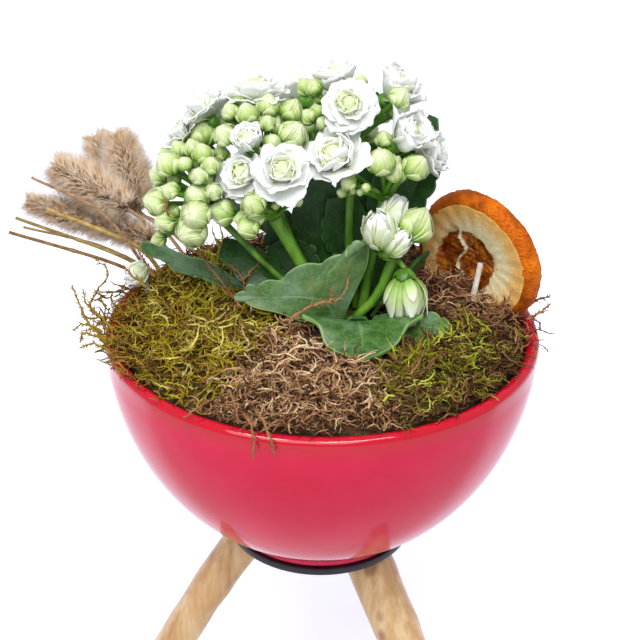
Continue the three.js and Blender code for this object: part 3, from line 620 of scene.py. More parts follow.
# %% Wood
def wood(name, direction):
    """Varnished wood with its grain along a direction."""
    grain = Surface(name, Roughness=0.38, Coat_Weight=0.25, Coat_Roughness=0.2)
    turn = direction.to_track_quat("Z", "Y").inverted().to_euler()
    along = grain.place(scale=(1, 1, 0.13), rotation=turn)
    streak = grain.noise(260, 4, along)
    broad = grain.noise(70, 3, along)
    patch = grain.noise(38, 3)
    base = grain.ramp(
        streak * 0.55 + broad * 0.45,
        (0.34, rgb(170, 124, 72)), (0.48, rgb(206, 164, 110)), (0.64, rgb(232, 202, 154)),
    )
    scar = grain.step(grain.cells(58, grain.place(scale=(1, 1, 0.6), rotation=turn)), 0.2, 0.1)
    stain = grain.step(patch, 0.56, 0.7)
    warm = grain.mix(stain * 0.55, base, rgb(204, 150, 92))
    grain.colour(grain.mix(scar * 0.75, warm, rgb(146, 92, 52)))
    grain.relief(streak + broad, 0.22, 0.5)
    return grain


for each in LEGS:
    branch, direction = draw_leg(**each)
    hand_over(branch, "leg_wood", [each["name"]], [wood("peeled_" + each["name"], direction)])

# %% [markdown]
# ## Copies of a modelled pattern
#
# A kalanchoe has some eighty buds and several hundred petals, and the moss has thousands of sprigs.
# Each is modelled once or in a few variants. Then its vertices, faces and UV map are copied with a
# matrix for each place, which is what an instance does, but the copies stay real mesh. Every copy
# carries a number of its own, `tint`, so that a material can vary from one to the next.


# %% Copying patterns
def read_out(piece):
    """The vertices, corners, faces, surface numbers and UV map of a mesh, as arrays."""
    mesh = piece.data
    spots = np.empty(len(mesh.vertices) * 3)
    mesh.vertices.foreach_get("co", spots)
    corners = np.empty(len(mesh.loops), int)
    mesh.loops.foreach_get("vertex_index", corners)
    totals = np.empty(len(mesh.polygons), int)
    mesh.polygons.foreach_get("loop_total", totals)
    looks = np.empty(len(mesh.polygons), int)
    mesh.polygons.foreach_get("material_index", looks)
    flat = np.zeros(len(mesh.loops) * 2)
    if mesh.uv_layers:
        mesh.uv_layers.active.data.foreach_get("uv", flat)
    return spots.reshape(-1, 3), corners, totals, looks, flat.reshape(-1, 2)


def copied(name, patterns, places):
    """One smooth mesh of copies; a place is (pattern number, 4 by 4 matrix, tint)."""
    parts = []
    offset = 0
    for number, pattern in enumerate(patterns):
        chosen = [(matrix, tint) for which, matrix, tint in places if which == number]
        if not chosen:
            continue
        spots, corners, totals, looks, flat = read_out(pattern)
        count = len(chosen)
        matrices = np.array([matrix for matrix, tint in chosen], float).reshape(count, 4, 4)
        moved = np.einsum("nij,kj->nki", matrices[:, :3, :3], spots) + matrices[:, None, :3, 3]
        shift = offset + len(spots) * np.arange(count)
        parts.append((
            moved.reshape(-1, 3),
            (corners[None] + shift[:, None]).ravel(),
            np.tile(totals, count),
            np.tile(looks, count),
            np.tile(flat, (count, 1)),
            np.repeat([tint for matrix, tint in chosen], len(spots)),
        ))
        offset += len(spots) * count
    spots, corners, totals, looks, flat, tints = map(np.concatenate, zip(*parts))
    mesh = bpy.data.meshes.new(name)
    mesh.vertices.add(len(spots))
    mesh.vertices.foreach_set("co", spots.ravel())
    mesh.loops.add(len(corners))
    mesh.loops.foreach_set("vertex_index", corners)
    mesh.polygons.add(len(totals))
    mesh.polygons.foreach_set("loop_start", np.cumsum(totals) - totals)
    mesh.polygons.foreach_set("material_index", looks)
    mesh.polygons.foreach_set("use_smooth", np.ones(len(totals), bool))
    mesh.uv_layers.new(name="UVMap").data.foreach_set("uv", flat.ravel())
    mesh.attributes.new("tint", "FLOAT", "POINT").data.foreach_set("value", tints)
    mesh.update(calc_edges=True)
    mesh.validate()
    for material in patterns[0].data.materials:
        mesh.materials.append(material)
    piece = bpy.data.objects.new(name, mesh)
    scene.collection.objects.link(piece)
    return piece


def fused(name, parts):
    """Joins meshes into one piece; the first gives the order of the surfaces."""
    hold(*parts)
    if len(parts) > 1:
        bpy.ops.object.join()
    parts[0].name = parts[0].data.name = name
    return parts[0]


def discard(pieces):
    """Removes patterns that have been copied."""
    for piece in pieces:
        bpy.data.objects.remove(piece)


def aimed(place, facing, roll=0.0):
    """A matrix that stands a pattern's Z axis along a direction, turned by roll about it."""
    turn = Vector(facing).normalized().to_track_quat("Z", "Y").to_matrix().to_4x4()
    return Matrix.Translation(place) @ turn @ Matrix.Rotation(roll, 4, "Z")


# %% [markdown]
# ## Stalks
#
# Stems, flower stalks and straws are all round and thin. The natural way is to draw a curve through
# a few points, give it a round bevel with a radius at each point, and convert it to mesh. A whole
# bundle is one curve with many splines, so it converts in one go. A moss strand is drawn in the
# same way, with a section of three sides.


# %% Drawing stalks
def smooth_line(points, count):
    """Points on a smooth curve through three or more given ones."""
    points = [Vector(p) for p in points]
    padded = [2 * points[0] - points[1], *points, 2 * points[-1] - points[-2]]
    line = []
    for i in range(count + 1):
        reach = i / count * (len(points) - 1)
        k = min(int(reach), len(points) - 2)
        t = reach - k
        a, b, c, d = padded[k:k + 4]
        line.append(0.5 * (
            2 * b + (c - a) * t + (2 * a - 5 * b + 4 * c - d) * t ** 2
            + (3 * b - a - 3 * c + d) * t ** 3
        ))
    return line


def drawn(name, routes, origin=RIM, section=None):
    """Stalks, round or with a section; a route is a list of (x, y, z, radius) in mm from the origin."""
    calm()
    bpy.ops.curve.primitive_nurbs_path_add(location=(0, 0, 0))
    piece = bpy.context.object
    curve = piece.data
    curve.splines.clear()
    curve.bevel_depth = 1.0
    curve.bevel_resolution = 2
    curve.use_fill_caps = True
    if section:
        curve.bevel_mode = "OBJECT"
        curve.bevel_object = section
    for route in routes:
        spline = curve.splines.new("POLY")
        spline.points.add(len(route) - 1)
        for point, (x, y, z, radius) in zip(spline.points, route):
            point.co = (*(Vector(origin) + Vector((x, y, z)) * MM), 1)
            point.radius = radius * MM
    hold(piece)
    bpy.ops.object.convert(target="MESH")
    piece = bpy.context.object
    piece.name = piece.data.name = name
    return smooth(piece)


def tapered(points, radii, count):
    """A smooth route through points with the radii eased along it."""
    steps = len(radii) - 1
    line = smooth_line(points, count)
    return [(*point, eased(radii, i / count * steps)) for i, point in enumerate(line)]


# %% [markdown]
# ## Surfaces of the flowers
#
# Petals are white with a cool shade outside, cream to lime towards the heart, faintly veined, and
# here and there touched with brown at the edge; the lime at the base of each petal is partly its
# own colour and partly painted shade where the petals crowd round the heart. Buds go from fresh
# green at the stalk to a pale lime tip, with fine streaks that run up every fold; the deep green
# low on a bud is partly its own colour and partly painted shade on its underside, and the pale
# edges of the folds are a painted highlight. The stems are a fresh, slightly streaked green.

# %% Petals, buds and stems
petal_white = Surface(
    "petal_white", Roughness=0.55, Specular_IOR_Level=0.3, Subsurface_Weight=0.2,
    Subsurface_Radius=(1, 1, 0.8), Subsurface_Scale=2 * MM,
)
along, across = petal_white.across()
blush = petal_white.noise(220, 2)
outer_white = petal_white.mix(blush, rgb(228, 232, 224), rgb(250, 251, 248))
heart_cream = petal_white.mix(blush, rgb(214, 226, 164), rgb(238, 243, 208))
petal_colour = petal_white.mix(petal_white.step(petal_white.tint(), 0.3, 0.85), outer_white, heart_cream)
# Lime towards the base of each petal: partly the petal's own colour, partly painted shade where the petals
# crowd round the heart.
root_share = petal_white.step(along, 0.6, 0.1)
petal_colour = petal_white.mix(root_share * 0.5, petal_colour, rgb(196, 214, 134))
vein = (across * 40).sine() * 0.5 + 0.5
brown_edge = petal_white.step(petal_white.noise(300, 1), 0.72, 0.78) * petal_white.step(along, 0.82, 0.98)
petal_colour = petal_white.mix(brown_edge * 0.75, petal_colour, rgb(196, 134, 108))
petal_white.colour(petal_colour)
petal_white.relief(vein * 0.5 + petal_white.noise(1500, 2), 0.05, 0.3)

bud_lime = Surface(
    "bud_lime", Roughness=0.42, Specular_IOR_Level=0.35, Subsurface_Weight=0.06,
    Subsurface_Scale=1.5 * MM,
)
upward, sideways = bud_lime.across()
streak = (sideways * 26 + bud_lime.noise(300, 2) * 5).sine() * 0.5 + 0.5
# Deep green low on the bud to pale lime at the tip: partly the bud's own colour, partly painted shade on its
# underside.
shade = bud_lime.ramp(
    upward + (bud_lime.noise(420, 2) - 0.5) * 0.3 + (bud_lime.tint() - 0.5) * 0.22,
    (0.08, rgb(56, 108, 12)), (0.26, rgb(102, 150, 40)), (0.46, rgb(156, 184, 86)),
    (0.68, rgb(198, 212, 138)), (0.95, rgb(228, 234, 190)),
)
# The pale edges of the folds are a painted highlight.
fold_edge = bud_lime.step((sideways - 0.5).size() * 2, 0.72, 0.97)
lit_edge = bud_lime.mix(fold_edge * 0.6, shade, rgb(226, 236, 188))
low_half = bud_lime.step(upward, 0.75, 0.2)
bud_lime.colour(bud_lime.mix(streak * (0.18 + low_half * 0.35), lit_edge, rgb(92, 142, 40)))
bud_lime.relief(streak * 0.6 + bud_lime.noise(1200, 2) * 0.5, 0.1, 0.4)

fresh_green = Surface("fresh_green", Roughness=0.4, Subsurface_Weight=0.05, Subsurface_Scale=MM)
run = fresh_green.noise(230, 3, fresh_green.place(scale=(1, 1, 0.3)))
fresh_green.colour(fresh_green.ramp(
    run, (0.34, rgb(62, 108, 18)), (0.5, rgb(88, 140, 32)), (0.7, rgb(122, 168, 58)),
))
fresh_green.relief(run, 0.15, 0.4)
tell(petal_white, bud_lime, fresh_green)

# %% [markdown]
# ## A bud
#
# A double kalanchoe bud is a plump onion of folded petals. Each petal wraps a third of the way
# round, one edge over its neighbour and one edge under, and all wind a little towards the tip. So a
# bud is a closed core with four or five wrapped leaves over it, each laid out by formula on the
# onion's outline: the radius grows from one edge of a leaf to the other, which makes the overlap.
# Green sepals are the same leaf, shorter and pointed, with the tips lifted on an older bud.

# %% Model the bud
BUD_BASE = -1.0
BUD_HEIGHT = 2.15
LEAF_START = 0.03
BUD_LEAF_THICKNESS = 0.025
CORE_SHARE = 0.97
EDGE_OVERLAP = 0.03


def onion(share):
    """Radius of a bud from its base, 0, to its tip, 1; its widest radius is 1."""
    return math.sin(math.pi * share ** 0.85) ** 0.7 * (1 - 0.28 * max(share - 0.55, 0) / 0.45)


def wrapped_leaf(turn, reach, half_angle, lift, overlap, wind, flare, pointed):
    """A leaf that lies on the onion up to `reach`; its tip may flare away from it."""
    def rule(u, v):
        share = LEAF_START + (reach - LEAF_START) * u
        taper = (1 - u ** 2.6) ** 0.6 if pointed else math.sin(math.pi * (0.17 + 0.72 * u)) ** 0.5
        angle = turn + v * half_angle * taper + wind * share
        radius = max(onion(min(share, 0.985)), 0.1) * (lift + overlap * v) + flare * u ** 4
        height = BUD_BASE + BUD_HEIGHT * share
        return radius * math.cos(angle), radius * math.sin(angle), height

    return laid("leaf_of_bud", 5, 5, BUD_LEAF_THICKNESS, rule)


def folded(name, skin, rings):
    """A bud of radius 1: a core and leaves over it.

    A ring of leaves is (count, reach, half angle, lift, wind, flare, pointed).
    """
    calm()
    bpy.ops.mesh.primitive_uv_sphere_add(segments=10, ring_count=8, radius=1)
    core = bpy.context.object
    bpy.ops.object.mode_set(mode="EDIT")
    for height in sorted({round(v.co.z, 4) for v in core.data.vertices})[1:-1]:
        share = (height + 1) / 2
        wanted = CORE_SHARE * onion(share) / math.sqrt(1 - height ** 2)
        choose(lambda p: abs(p.z - height) < 0.001)
        bpy.ops.transform.resize(value=(wanted, wanted, 1), center_override=(0, 0, height))
    bpy.ops.mesh.select_all(action="SELECT")
    bpy.ops.transform.resize(value=(1, 1, BUD_HEIGHT / 2), center_override=(0, 0, BUD_BASE))
    bpy.ops.object.mode_set(mode="OBJECT")
    lay_uv(core, lambda p: ((p.z - BUD_BASE) / BUD_HEIGHT, 0.5))
    parts = [smooth(core)]
    for count, reach, half_angle, lift, wind, flare, pointed in rings:
        for k in range(count):
            turn = 2 * math.pi * (k + 0.13 * scatter(k + lift)) / count + lift * 9
            overlap = 0 if pointed else EDGE_OVERLAP
            parts.append(wrapped_leaf(turn, reach, half_angle, lift, overlap, wind, flare, pointed))
    for part in parts:
        part.data.materials.append(skin.material)
    return fused(name, parts)


BUDS = [
    folded("bud_round", bud_lime, [(5, 1, 0.95, 1.03, 0.5, 0, False), (4, 0.62, 0.62, 1.09, 0.3, 0, True)]),
    folded("bud_leafy", bud_lime, [
        (5, 1, 0.95, 1.03, 0.8, 0, False), (5, 0.9, 0.5, 1.1, 0.4, 0.1, True),
        (4, 0.66, 0.56, 1.14, 0.2, 0.06, True),
    ]),
    folded("bud_small", bud_lime, [(4, 1, 1.1, 1.04, 0.2, 0, False)]),
]
HEART = folded("heart", petal_white, [
    (5, 1, 0.95, 1.0, 0.9, 0, False), (5, 0.8, 0.8, 1.16, 0.6, 0.16, False),
])
print("bud patterns:", [len(pattern.data.polygons) for pattern in BUDS], "faces")

# %% [markdown]
# ## A petal
#
# A petal is a thin spoon with a broad round end and a waved, slightly torn edge. The outer ones
# bend back when the floret is open, the inner ones curl round the heart. Each pattern starts from a
# grid, which is laid along that spoon by a formula, because the waves have to be finest at the
# edge, and then gets its thickness. Six variants differ in their waves and curl.

# %% Model the petals
PETAL_ALONG = 6
PETAL_ACROSS = 7
PETAL_THICKNESS = 0.035


def petal(name, curl, cup, wave, seed):
    """A petal of length 1 along X and half width 1/2, cupped towards Z."""
    phase = 6.3 * scatter(seed)
    lean = scatter(seed + 5) - 0.5
    ripple = 2.6 + scatter(seed + 2)

    def rule(u, v):
        half = 0.5 * (0.34 + 0.66 * math.sin(math.pi * min(0.1 + 0.64 * u, 0.5)))
        half *= math.sqrt(1 - 0.3 * (max(u - 0.6, 0) / 0.4) ** 2)
        back = 0.17 * v ** 2 * u ** 3 + 0.04 * math.sin(6 * v + phase) * u ** 3
        frill = wave * u ** 2 * math.sin(ripple * v + phase)
        frill += 0.6 * wave * u ** 4 * math.cos(7 * v + 2 * phase)
        bowl_shape = cup * v ** 2 * (0.4 + 0.6 * u)
        return u - back, half * v + 0.08 * lean * u ** 2, bowl_shape + curl * u ** 2 + frill

    return laid(name, PETAL_ALONG, PETAL_ACROSS, PETAL_THICKNESS, rule)


PETALS = [petal(f"petal_open_{i}", -0.1 + 0.06 * i, 0.05, 0.09, i + 1) for i in range(3)]
PETALS += [petal(f"petal_shut_{i}", 0.2 + 0.06 * i, 0.24, 0.075, i + 11) for i in range(3)]
for pattern in PETALS:
    pattern.data.materials.append(petal_white.material)
print("petal patterns:", [len(pattern.data.polygons) for pattern in PETALS], "faces")

# %% [markdown]
# ## Florets
#
# An open double floret is built like a small rose: broad flat petals outside, steeper ones inside,
# and a tight ball of folded petals as its heart. The same rule with steeper tilts and longer petals
# gives a half open floret. The petals of a row stand in the gaps of the row below, each a little
# off its exact place, and the inner rows are creamier than the outer ones.

# %% Set out the petals of a floret
PETAL_ROWS = [
    {"count": 6, "root": (0.12, -0.16), "length": 0.88, "half": 0.47, "open": 8, "shut": 72, "cream": 0.1},
    {"count": 6, "root": (0.13, -0.09), "length": 0.78, "half": 0.42, "open": 20, "shut": 76, "cream": 0.2},
    {"count": 5, "root": (0.13, -0.04), "length": 0.66, "half": 0.38, "open": 36, "shut": 78, "cream": 0.3},
    {"count": 5, "root": (0.13, 0.0), "length": 0.54, "half": 0.34, "open": 54, "shut": 80, "cream": 0.5},
    {"count": 4, "root": (0.14, 0.03), "length": 0.44, "half": 0.36, "open": 72, "shut": 82, "cream": 0.75},
]
HEART_SIZE = 0.31
SHUT_HEART_SIZE = 0.5
STRETCH = 0.4
STEEP = 38
print("petals round the heart:", sum(row["count"] for row in PETAL_ROWS))


def petal_places(middle, facing, radius, opening, seed):
    """Where the petals and the heart of a floret go, as places for `copied`."""
    rng = random.Random(seed)
    base = aimed(at(*middle), facing, rng.uniform(0, 6.3)) @ Matrix.Scale(radius * MM, 4)
    places = []
    for row, share in enumerate(PETAL_ROWS):
        tilt = share["shut"] + (share["open"] - share["shut"]) * opening
        first = 3 if tilt > STEEP else 0
        for k in range(share["count"]):
            turn = 2 * math.pi * (k + 0.5 * (row % 2) + rng.uniform(-0.1, 0.1)) / share["count"]
            rise = math.radians(tilt + rng.uniform(-11, 11))
            size = share["length"] * rng.uniform(0.86, 1.1) * (1 + STRETCH * (1 - opening))
            width = 2 * share["half"] * rng.uniform(0.94, 1.1)
            spot = (
                Matrix.Rotation(turn, 4, "Z")
                @ Matrix.Translation((share["root"][0], 0, share["root"][1]))
                @ Matrix.Rotation(-rise, 4, "Y")
                @ Matrix.Rotation(rng.uniform(-0.3, 0.3), 4, "X")
                @ Matrix.Diagonal((size, width, 0.8 * size, 1))
            )
            number = rng.randrange(3) + first
            cream = share["cream"] + 0.3 * (1 - opening) ** 2 + rng.uniform(-0.12, 0.12)
            places.append((number, base @ spot, cream))
    heart_size = HEART_SIZE + (SHUT_HEART_SIZE - HEART_SIZE) * (1 - opening) ** 3
    heart = Matrix.Translation((0, 0, 0.16 + 0.3 * (1 - opening))) @ Matrix.Scale(heart_size, 4)
    places.append((len(PETALS), base @ heart, 0.85))
    return places


# %% Grow the open florets
# A floret is (middle, facing, radius, opening), with the opening from 0, shut, to 1.
FLORETS = {
    "left": [
        ((-50, 10, 69.5), (-0.6, -0.1, 0.7), 7, 0.6),
        ((-38, 30, 68), (-0.3, 0.8, 0.5), 9, 1),
    ],
    "upper": [
        ((-42, 12, 77), (-0.45, 0.1, 0.85), 10.5, 0.75),
        ((-24.5, 13, 82.5), (-0.1, 0.12, 0.97), 12.5, 0.72),
        ((-25.5, -9, 74), (-0.25, -0.5, 0.8), 7.8, 0.3),
    ],
    "front": [
        ((-27.5, -11.5, 63.5), (-0.45, -0.6, 0.65), 10.4, 0.85),
        ((-14.5, -18, 67.5), (0.05, -0.66, 0.75), 11.6, 0.9),
    ],
    "top": [
        ((8, -5, 87), (-0.05, -0.75, 0.65), 10.6, 1),
        ((4, 11, 88.5), (-0.1, -0.05, 0.95), 10, 0.5),
        ((23, 11, 85.5), (0.5, -0.15, 0.75), 12, 0.5),
    ],
    "right": [
        ((4.4, -9, 69), (-0.35, -0.55, 0.75), 12.6, 0.6),
        ((26, -4.5, 75), (0.65, -0.25, 0.6), 11.5, 0.5),
        ((34.5, 3, 67), (0.85, -0.2, 0.35), 10, 0.55),
    ],
    "back": [
        ((-8, 40, 74), (-0.1, 0.8, 0.6), 10, 1),
        ((16, 34, 72), (0.4, 0.75, 0.5), 9, 0.9),
    ],
}


def grow(name, floret, extra=()):
    """One floret, and what else belongs to its piece."""
    petals = copied(name + "_petals", [*PETALS, HEART], petal_places(*floret, name + "0"))
    hand_over(fused("double_" + name, [petals, *extra]), "petal", [name])


for head, florets in FLORETS.items():
    for k, floret in enumerate(florets, 1):
        grow(f"floret_{head}_{k}", floret)

# %% [markdown]
# Four florets low on the right are only half open. They are still folded like a bud, longer, with
# pointed tips that begin to spread, and their green runs up from the cup and fades out on the way
# to white tips. So they are copies of one more folded pattern, stretched along its axis.

# %% Fold the half open florets
bell_skin = Surface(
    "petal_green_white", Roughness=0.5, Specular_IOR_Level=0.3, Subsurface_Weight=0.2,
    Subsurface_Radius=(1, 1, 0.8), Subsurface_Scale=2 * MM,
)
bell_along, bell_across = bell_skin.across()
bell_skin.colour(bell_skin.ramp(
    bell_along + (bell_skin.noise(260, 2) - 0.5) * 0.3,
    (0.2, rgb(134, 176, 72)), (0.48, rgb(198, 218, 146)), (0.76, rgb(228, 236, 202)),
    (0.98, rgb(250, 251, 247)),
))
bell_skin.relief((bell_across * 40).sine() * 0.5 + bell_skin.noise(1500, 2), 0.08, 0.3)
bell = folded("bell", bell_skin, [
    (5, 0.99, 0.66, 1.03, 0.9, 0.1, False), (5, 0.96, 0.56, 1.06, 0.5, 0.42, False),
    (5, 0.82, 0.5, 1.1, 0.3, 0.5, True), (4, 0.5, 0.34, 1.16, 0.2, 0.12, True),
])
# A half open floret is (middle, facing, size along its three axes).
HALF_OPEN = {
    "floret_low": [
        ((19.5, -15, 45), (-0.15, -0.35, 0.9), (5.6, 5.6, 7.6)),
        ((23.9, -9, 48), (0.35, 0.05, 0.9), (4.8, 4.8, 7)),
        ((25, -15.4, 40.7), (0.5, -0.3, 0.75), (4.4, 4.4, 5.8)),
    ],
    "floret_hanging": [((29.4, -17, 20), (0.14, -0.33, -0.93), (6.7, 6.7, 9))],
}
for name, florets in HALF_OPEN.items():
    places = []
    for k, (spot, facing, size) in enumerate(florets):
        stretch = Matrix.Diagonal((*(side * MM for side in size), 1))
        places.append((0, aimed(at(*spot), facing, 0.4 + 1.3 * k) @ stretch, 0.5))
    hand_over(copied("double_" + name, [bell], places), "petal", [name])
discard([bell])

# %% Tuck one floret into the moss
TUCKED_STALK = [(-64, 15, -1), (-67, 17, 6), (-69.2, 18.3, 13.5)]
white_stalk = drawn("white_stalk", [tapered(TUCKED_STALK, [1, 1.4], 8)])
white_stalk.data.materials.append(petal_white.material)
grow("floret_tucked", ((-67, 17, 13.6), (-0.5, -0.35, -0.4), 8.2, 0.1), [white_stalk])

# %% [markdown]
# ## Sprays
#
# Each flower head grows from one stem that forks near the top. Short stalks lead from the fork to
# the buds and to the florets, whose petals open from a slim green cup with four sepals. The stalks
# leave the stem in a soft bend, and a few small bracts sit at the fork.


# %% Set out the sprays
GOLDEN_ANGLE = math.pi * (3 - math.sqrt(5))


def hidden_buds(fork, count, reach, azimuth):
    """Buds on the side of a head that faces away, spread by the golden angle."""
    buds = []
    for i in range(count):
        turn = math.radians(azimuth) + (i * GOLDEN_ANGLE) % math.pi - math.pi / 2
        rise = math.radians(12 + 58 * (i + 0.5) / count)
        out = reach * (0.92 + 0.12 * scatter(i + reach))
        buds.append((
            fork[0] + out * math.cos(rise) * math.cos(turn),
            fork[1] + out * math.cos(rise) * math.sin(turn),
            fork[2] + out * math.sin(rise),
            2.8 + 1.4 * scatter(i * 3 + reach),
        ))
    return buds


# A bud is (x, y, z, radius). The girth is the radius of the stem at its foot and near the fork.
SPRAYS = {
    "left": {
        "stem": [(4.3, -8.7, 9), (-14, -9, 22)], "girth": (1.3, 1.1), "fork": (-38, -2, 44),
        "buds": [
            (-43, 9, 70, 4.6), (-51, 2, 67, 3.1), (-46, -1, 69, 2.9), (-42, -8, 70, 3.3),
            (-36, -3, 68, 2.8), (-48, -10, 67, 2.4), (-43, -13, 64, 2.7), (-39, -11, 67, 2.9),
            (-54, -8, 66, 4.1), (-58, -3, 59, 3.1), (-53, -15, 59, 2.7), (-38, -15, 59, 2.6),
            (-58, -13, 54, 4.1), (-55, -16, 48, 3.3), (-44, -12, 56, 4.2), (-44, -19, 52, 4.6),
            (-46, -17, 45, 5), (-58, -9, 38, 2.6), *hidden_buds((-38, 6, 50), 4, 22, 125),
        ],
    },
    "upper": {
        "stem": [(4.7, -4.5, 9), (-8, 2, 26)], "girth": (1.5, 1.2), "fork": (-22, 5, 56),
        "buds": [
            (-33, 3, 81, 2.8), (-30, 9, 83, 2.8), (-27, -1, 82, 3.6), (-20, 4, 83, 3.8),
            (-12, 5, 81, 3.8), (-20, -4, 80, 2.6), (-18, -9, 75, 2.7), (-11, -4, 76, 4.4),
            (-34.5, -5.5, 76, 3.5), (-5, 1, 68, 2.4),
        ],
    },
    "front": {
        "stem": [(7.3, -11.7, 9), (-2, -12.5, 20)], "girth": (1.9, 1.9), "fork": (-17, -12, 48),
        "buds": [
            (-35, -13, 50.5, 4.4), (-26, -22, 49, 3.7), (-24, -23, 58, 3.7), (-9, -20, 58, 1.7),
        ],
    },
    "top": {
        "stem": [(12.2, -3.2, 9), (9, 2, 34)], "girth": (1.8, 1.4), "fork": (10, 5, 68),
        "buds": [
            (-7, 10, 88, 3.1), (-4, 7, 89, 2.8), (-6, 5, 79, 2.8), (-1, -3, 80, 2.2),
            (12, 6, 92, 2.1), (25, -0.5, 88.5, 3.4), (27, 6.5, 82, 2.3),
        ],
    },
    "right": {
        "stem": [(14, -7, 9), (17, -5, 28)], "girth": (1.9, 1.6), "fork": (21, -4, 52),
        "buds": [
            (19, -15, 71, 4.4), (31, -12, 68, 4.2), (20, -5, 75, 2.8), (8, -15, 63, 2.6),
            (6, -12, 58, 1.7), (14, -19, 63, 1.5), (34, 7, 60, 3.2), (25, 9, 66, 3.2),
        ],
    },
    "low": {
        "stem": [(11.9, -11.1, 9), (19, -12, 18)], "girth": (1.9, 1.6), "fork": (25, -11, 33),
        "buds": [(32, -10, 45.2, 5.7)],
    },
    "back": {
        "stem": [(8.1, -2.1, 9), (6, 12, 24)], "girth": (1.9, 1.5), "fork": (0, 24, 50),
        "buds": hidden_buds((0, 24, 50), 9, 23, 90),
    },
}
# The cups of the half open florets, written like shut florets.
LOW_CUPS = [
    ((19.8, -14, 42.4), (-0.15, -0.35, 0.9), 9.5, 0),
    ((23, -9, 45.5), (0.35, 0.05, 0.9), 8, 0),
    ((23.4, -14.5, 38.6), (0.5, -0.3, 0.75), 7.5, 0),
    ((28.8, -16, 25), (0.05, -0.3, -0.95), 8, 0),
]
CUPS = {**FLORETS, "low": LOW_CUPS}
print("buds:", {head: len(each["buds"]) for head, each in SPRAYS.items()})


# %% Small buds and bent stalks
NEIGHBOURS_WITHIN = 18
STALK_STEPS = 7


def inner_buds(fork, buds):
    """Small late buds deeper in the head, one behind every gap between two neighbours."""
    late = []
    for (ax, ay, az, ar), (bx, by, bz, br) in zip(buds, buds[1:]):
        middle = Vector(((ax + bx) / 2, (ay + by) / 2, (az + bz) / 2))
        apart = math.dist((ax, ay, az), (bx, by, bz))
        if apart < NEIGHBOURS_WITHIN:
            spot = middle.lerp(Vector(fork), 0.2)
            late.append((*spot, min(0.36 * apart, 0.8 * min(ar, br))))
    return late


def flower_stalk(fork, foot, thick, rng):
    """A stalk that leaves the fork upwards and bends to its foot."""
    start, end = Vector(fork), Vector(foot)
    reach = (end - start).length
    bend = start.lerp(end, 0.45) + Vector((0, 0, 0.1 * reach))
    bend += Vector((rng.uniform(-1, 1), rng.uniform(-1, 1), 0)) * 0.04 * reach
    return tapered([start, bend, end], [1.15 * thick, 0.85 * thick, thick], STALK_STEPS)


# %% The calyx and the bract
CALYX = folded("calyx", fresh_green, [(4, 0.58, 0.8, 1.07, 0.15, 0.22, True)])


def spoon(u, v):
    """The outline of a bract, length 1 along X."""
    half = 0.21 * math.sin(math.pi * (0.16 + 0.7 * u)) ** 0.8
    return u - 0.12 * v ** 2 * u ** 3, half * v, 0.9 * half * v ** 2 + 0.12 * u ** 2


BRACT = laid("bract", 6, 4, 0.07, spoon)
BRACT.data.materials.append(fresh_green.material)
print("calyx and bract:", [len(pattern.data.polygons) for pattern in (CALYX, BRACT)], "faces")


def bract_place(spot, azimuth, rise, length):
    """Where a bract sits, turned by its azimuth and raised, in degrees."""
    turn = Matrix.Rotation(math.radians(azimuth), 4, "Z") @ Matrix.Rotation(-math.radians(rise), 4, "Y")
    return 0, Matrix.Translation(at(*spot)) @ turn @ Matrix.Scale(length * MM, 4), 0.5


# %% Fork the sprays
BUD_SWELL = 1.1
SMALL_BUD = 2.5
LEAFY_SHARE = 0.4
STEM_STEPS = 22
CUP_SIZE = 0.3
SHUT_CUP_MORE = 0.14
CUP_DROP = 0.32
BRACTS = 3


def spray(head, florets, stem, girth, fork, buds):
    """The stem, stalks, buds and bracts of a head, and the cups of its florets."""
    rng = random.Random("spray " + head)
    low, top = girth
    routes = [tapered([*stem, fork], [low, (low + top) / 2, top, 1.35 * top], STEM_STEPS)]
    bud_places = []
    calyx_places = []
    for x, y, z, radius in [*buds, *inner_buds(fork, buds)]:
        away = (Vector((x, y, z)) - Vector(fork)).normalized()
        foot = Vector((x, y, z)) - away * 0.95 * radius
        routes.append(flower_stalk(fork, foot, 0.65 + 0.09 * radius, rng))
        size = BUD_SWELL * radius * MM
        number = 2 if radius < SMALL_BUD else int(rng.random() < LEAFY_SHARE)
        spot = aimed(at(x, y, z), away, rng.uniform(0, 6.3))
        bud_places.append((number, spot @ Matrix.Scale(size, 4), rng.random()))
    for middle, facing, radius, opening in florets:
        facing = Vector(facing).normalized()
        size = (CUP_SIZE + SHUT_CUP_MORE * (1 - opening) ** 2) * radius
        middle = Vector(middle) - facing * CUP_DROP * radius
        spot = aimed(at(*middle), facing, rng.uniform(0, 6.3))
        calyx_places.append((0, spot @ Matrix.Scale(size * MM, 4), 0.5))
        routes.append(flower_stalk(fork, middle - facing * 0.9 * size, 1.0, rng))
    bract_places = [
        bract_place(fork, 360 * k / BRACTS + 80 * rng.random(), rng.uniform(15, 45), rng.uniform(5, 7.5))
        for k in range(BRACTS)
    ]
    stalks = drawn(head + "_stalks", routes)
    stalks.data.materials.append(fresh_green.material)
    parts = [copied(head + "_buds", BUDS, bud_places), stalks]
    parts.append(copied(head + "_calyxes", [CALYX], calyx_places))
    parts.append(copied(head + "_bracts", [BRACT], bract_places))
    hand_over(fused("stalks_and_buds_" + head, parts), "bud", ["spray_" + head])


for head, each in SPRAYS.items():
    spray(head, CUPS[head], **each)
discard([*BUDS, *PETALS, HEART, CALYX, BRACT])

# %% [markdown]
# ## Leaves
#
# The leaves are thick and fleshy, with round lobes and a sharp notch between them. Each has a rib
# and two margins, drawn as smooth lines over the tops of the lobes. A fine grid is laid between them
# by formula and pulled in at every notch, then given the thickness of a fleshy leaf and a bevel.

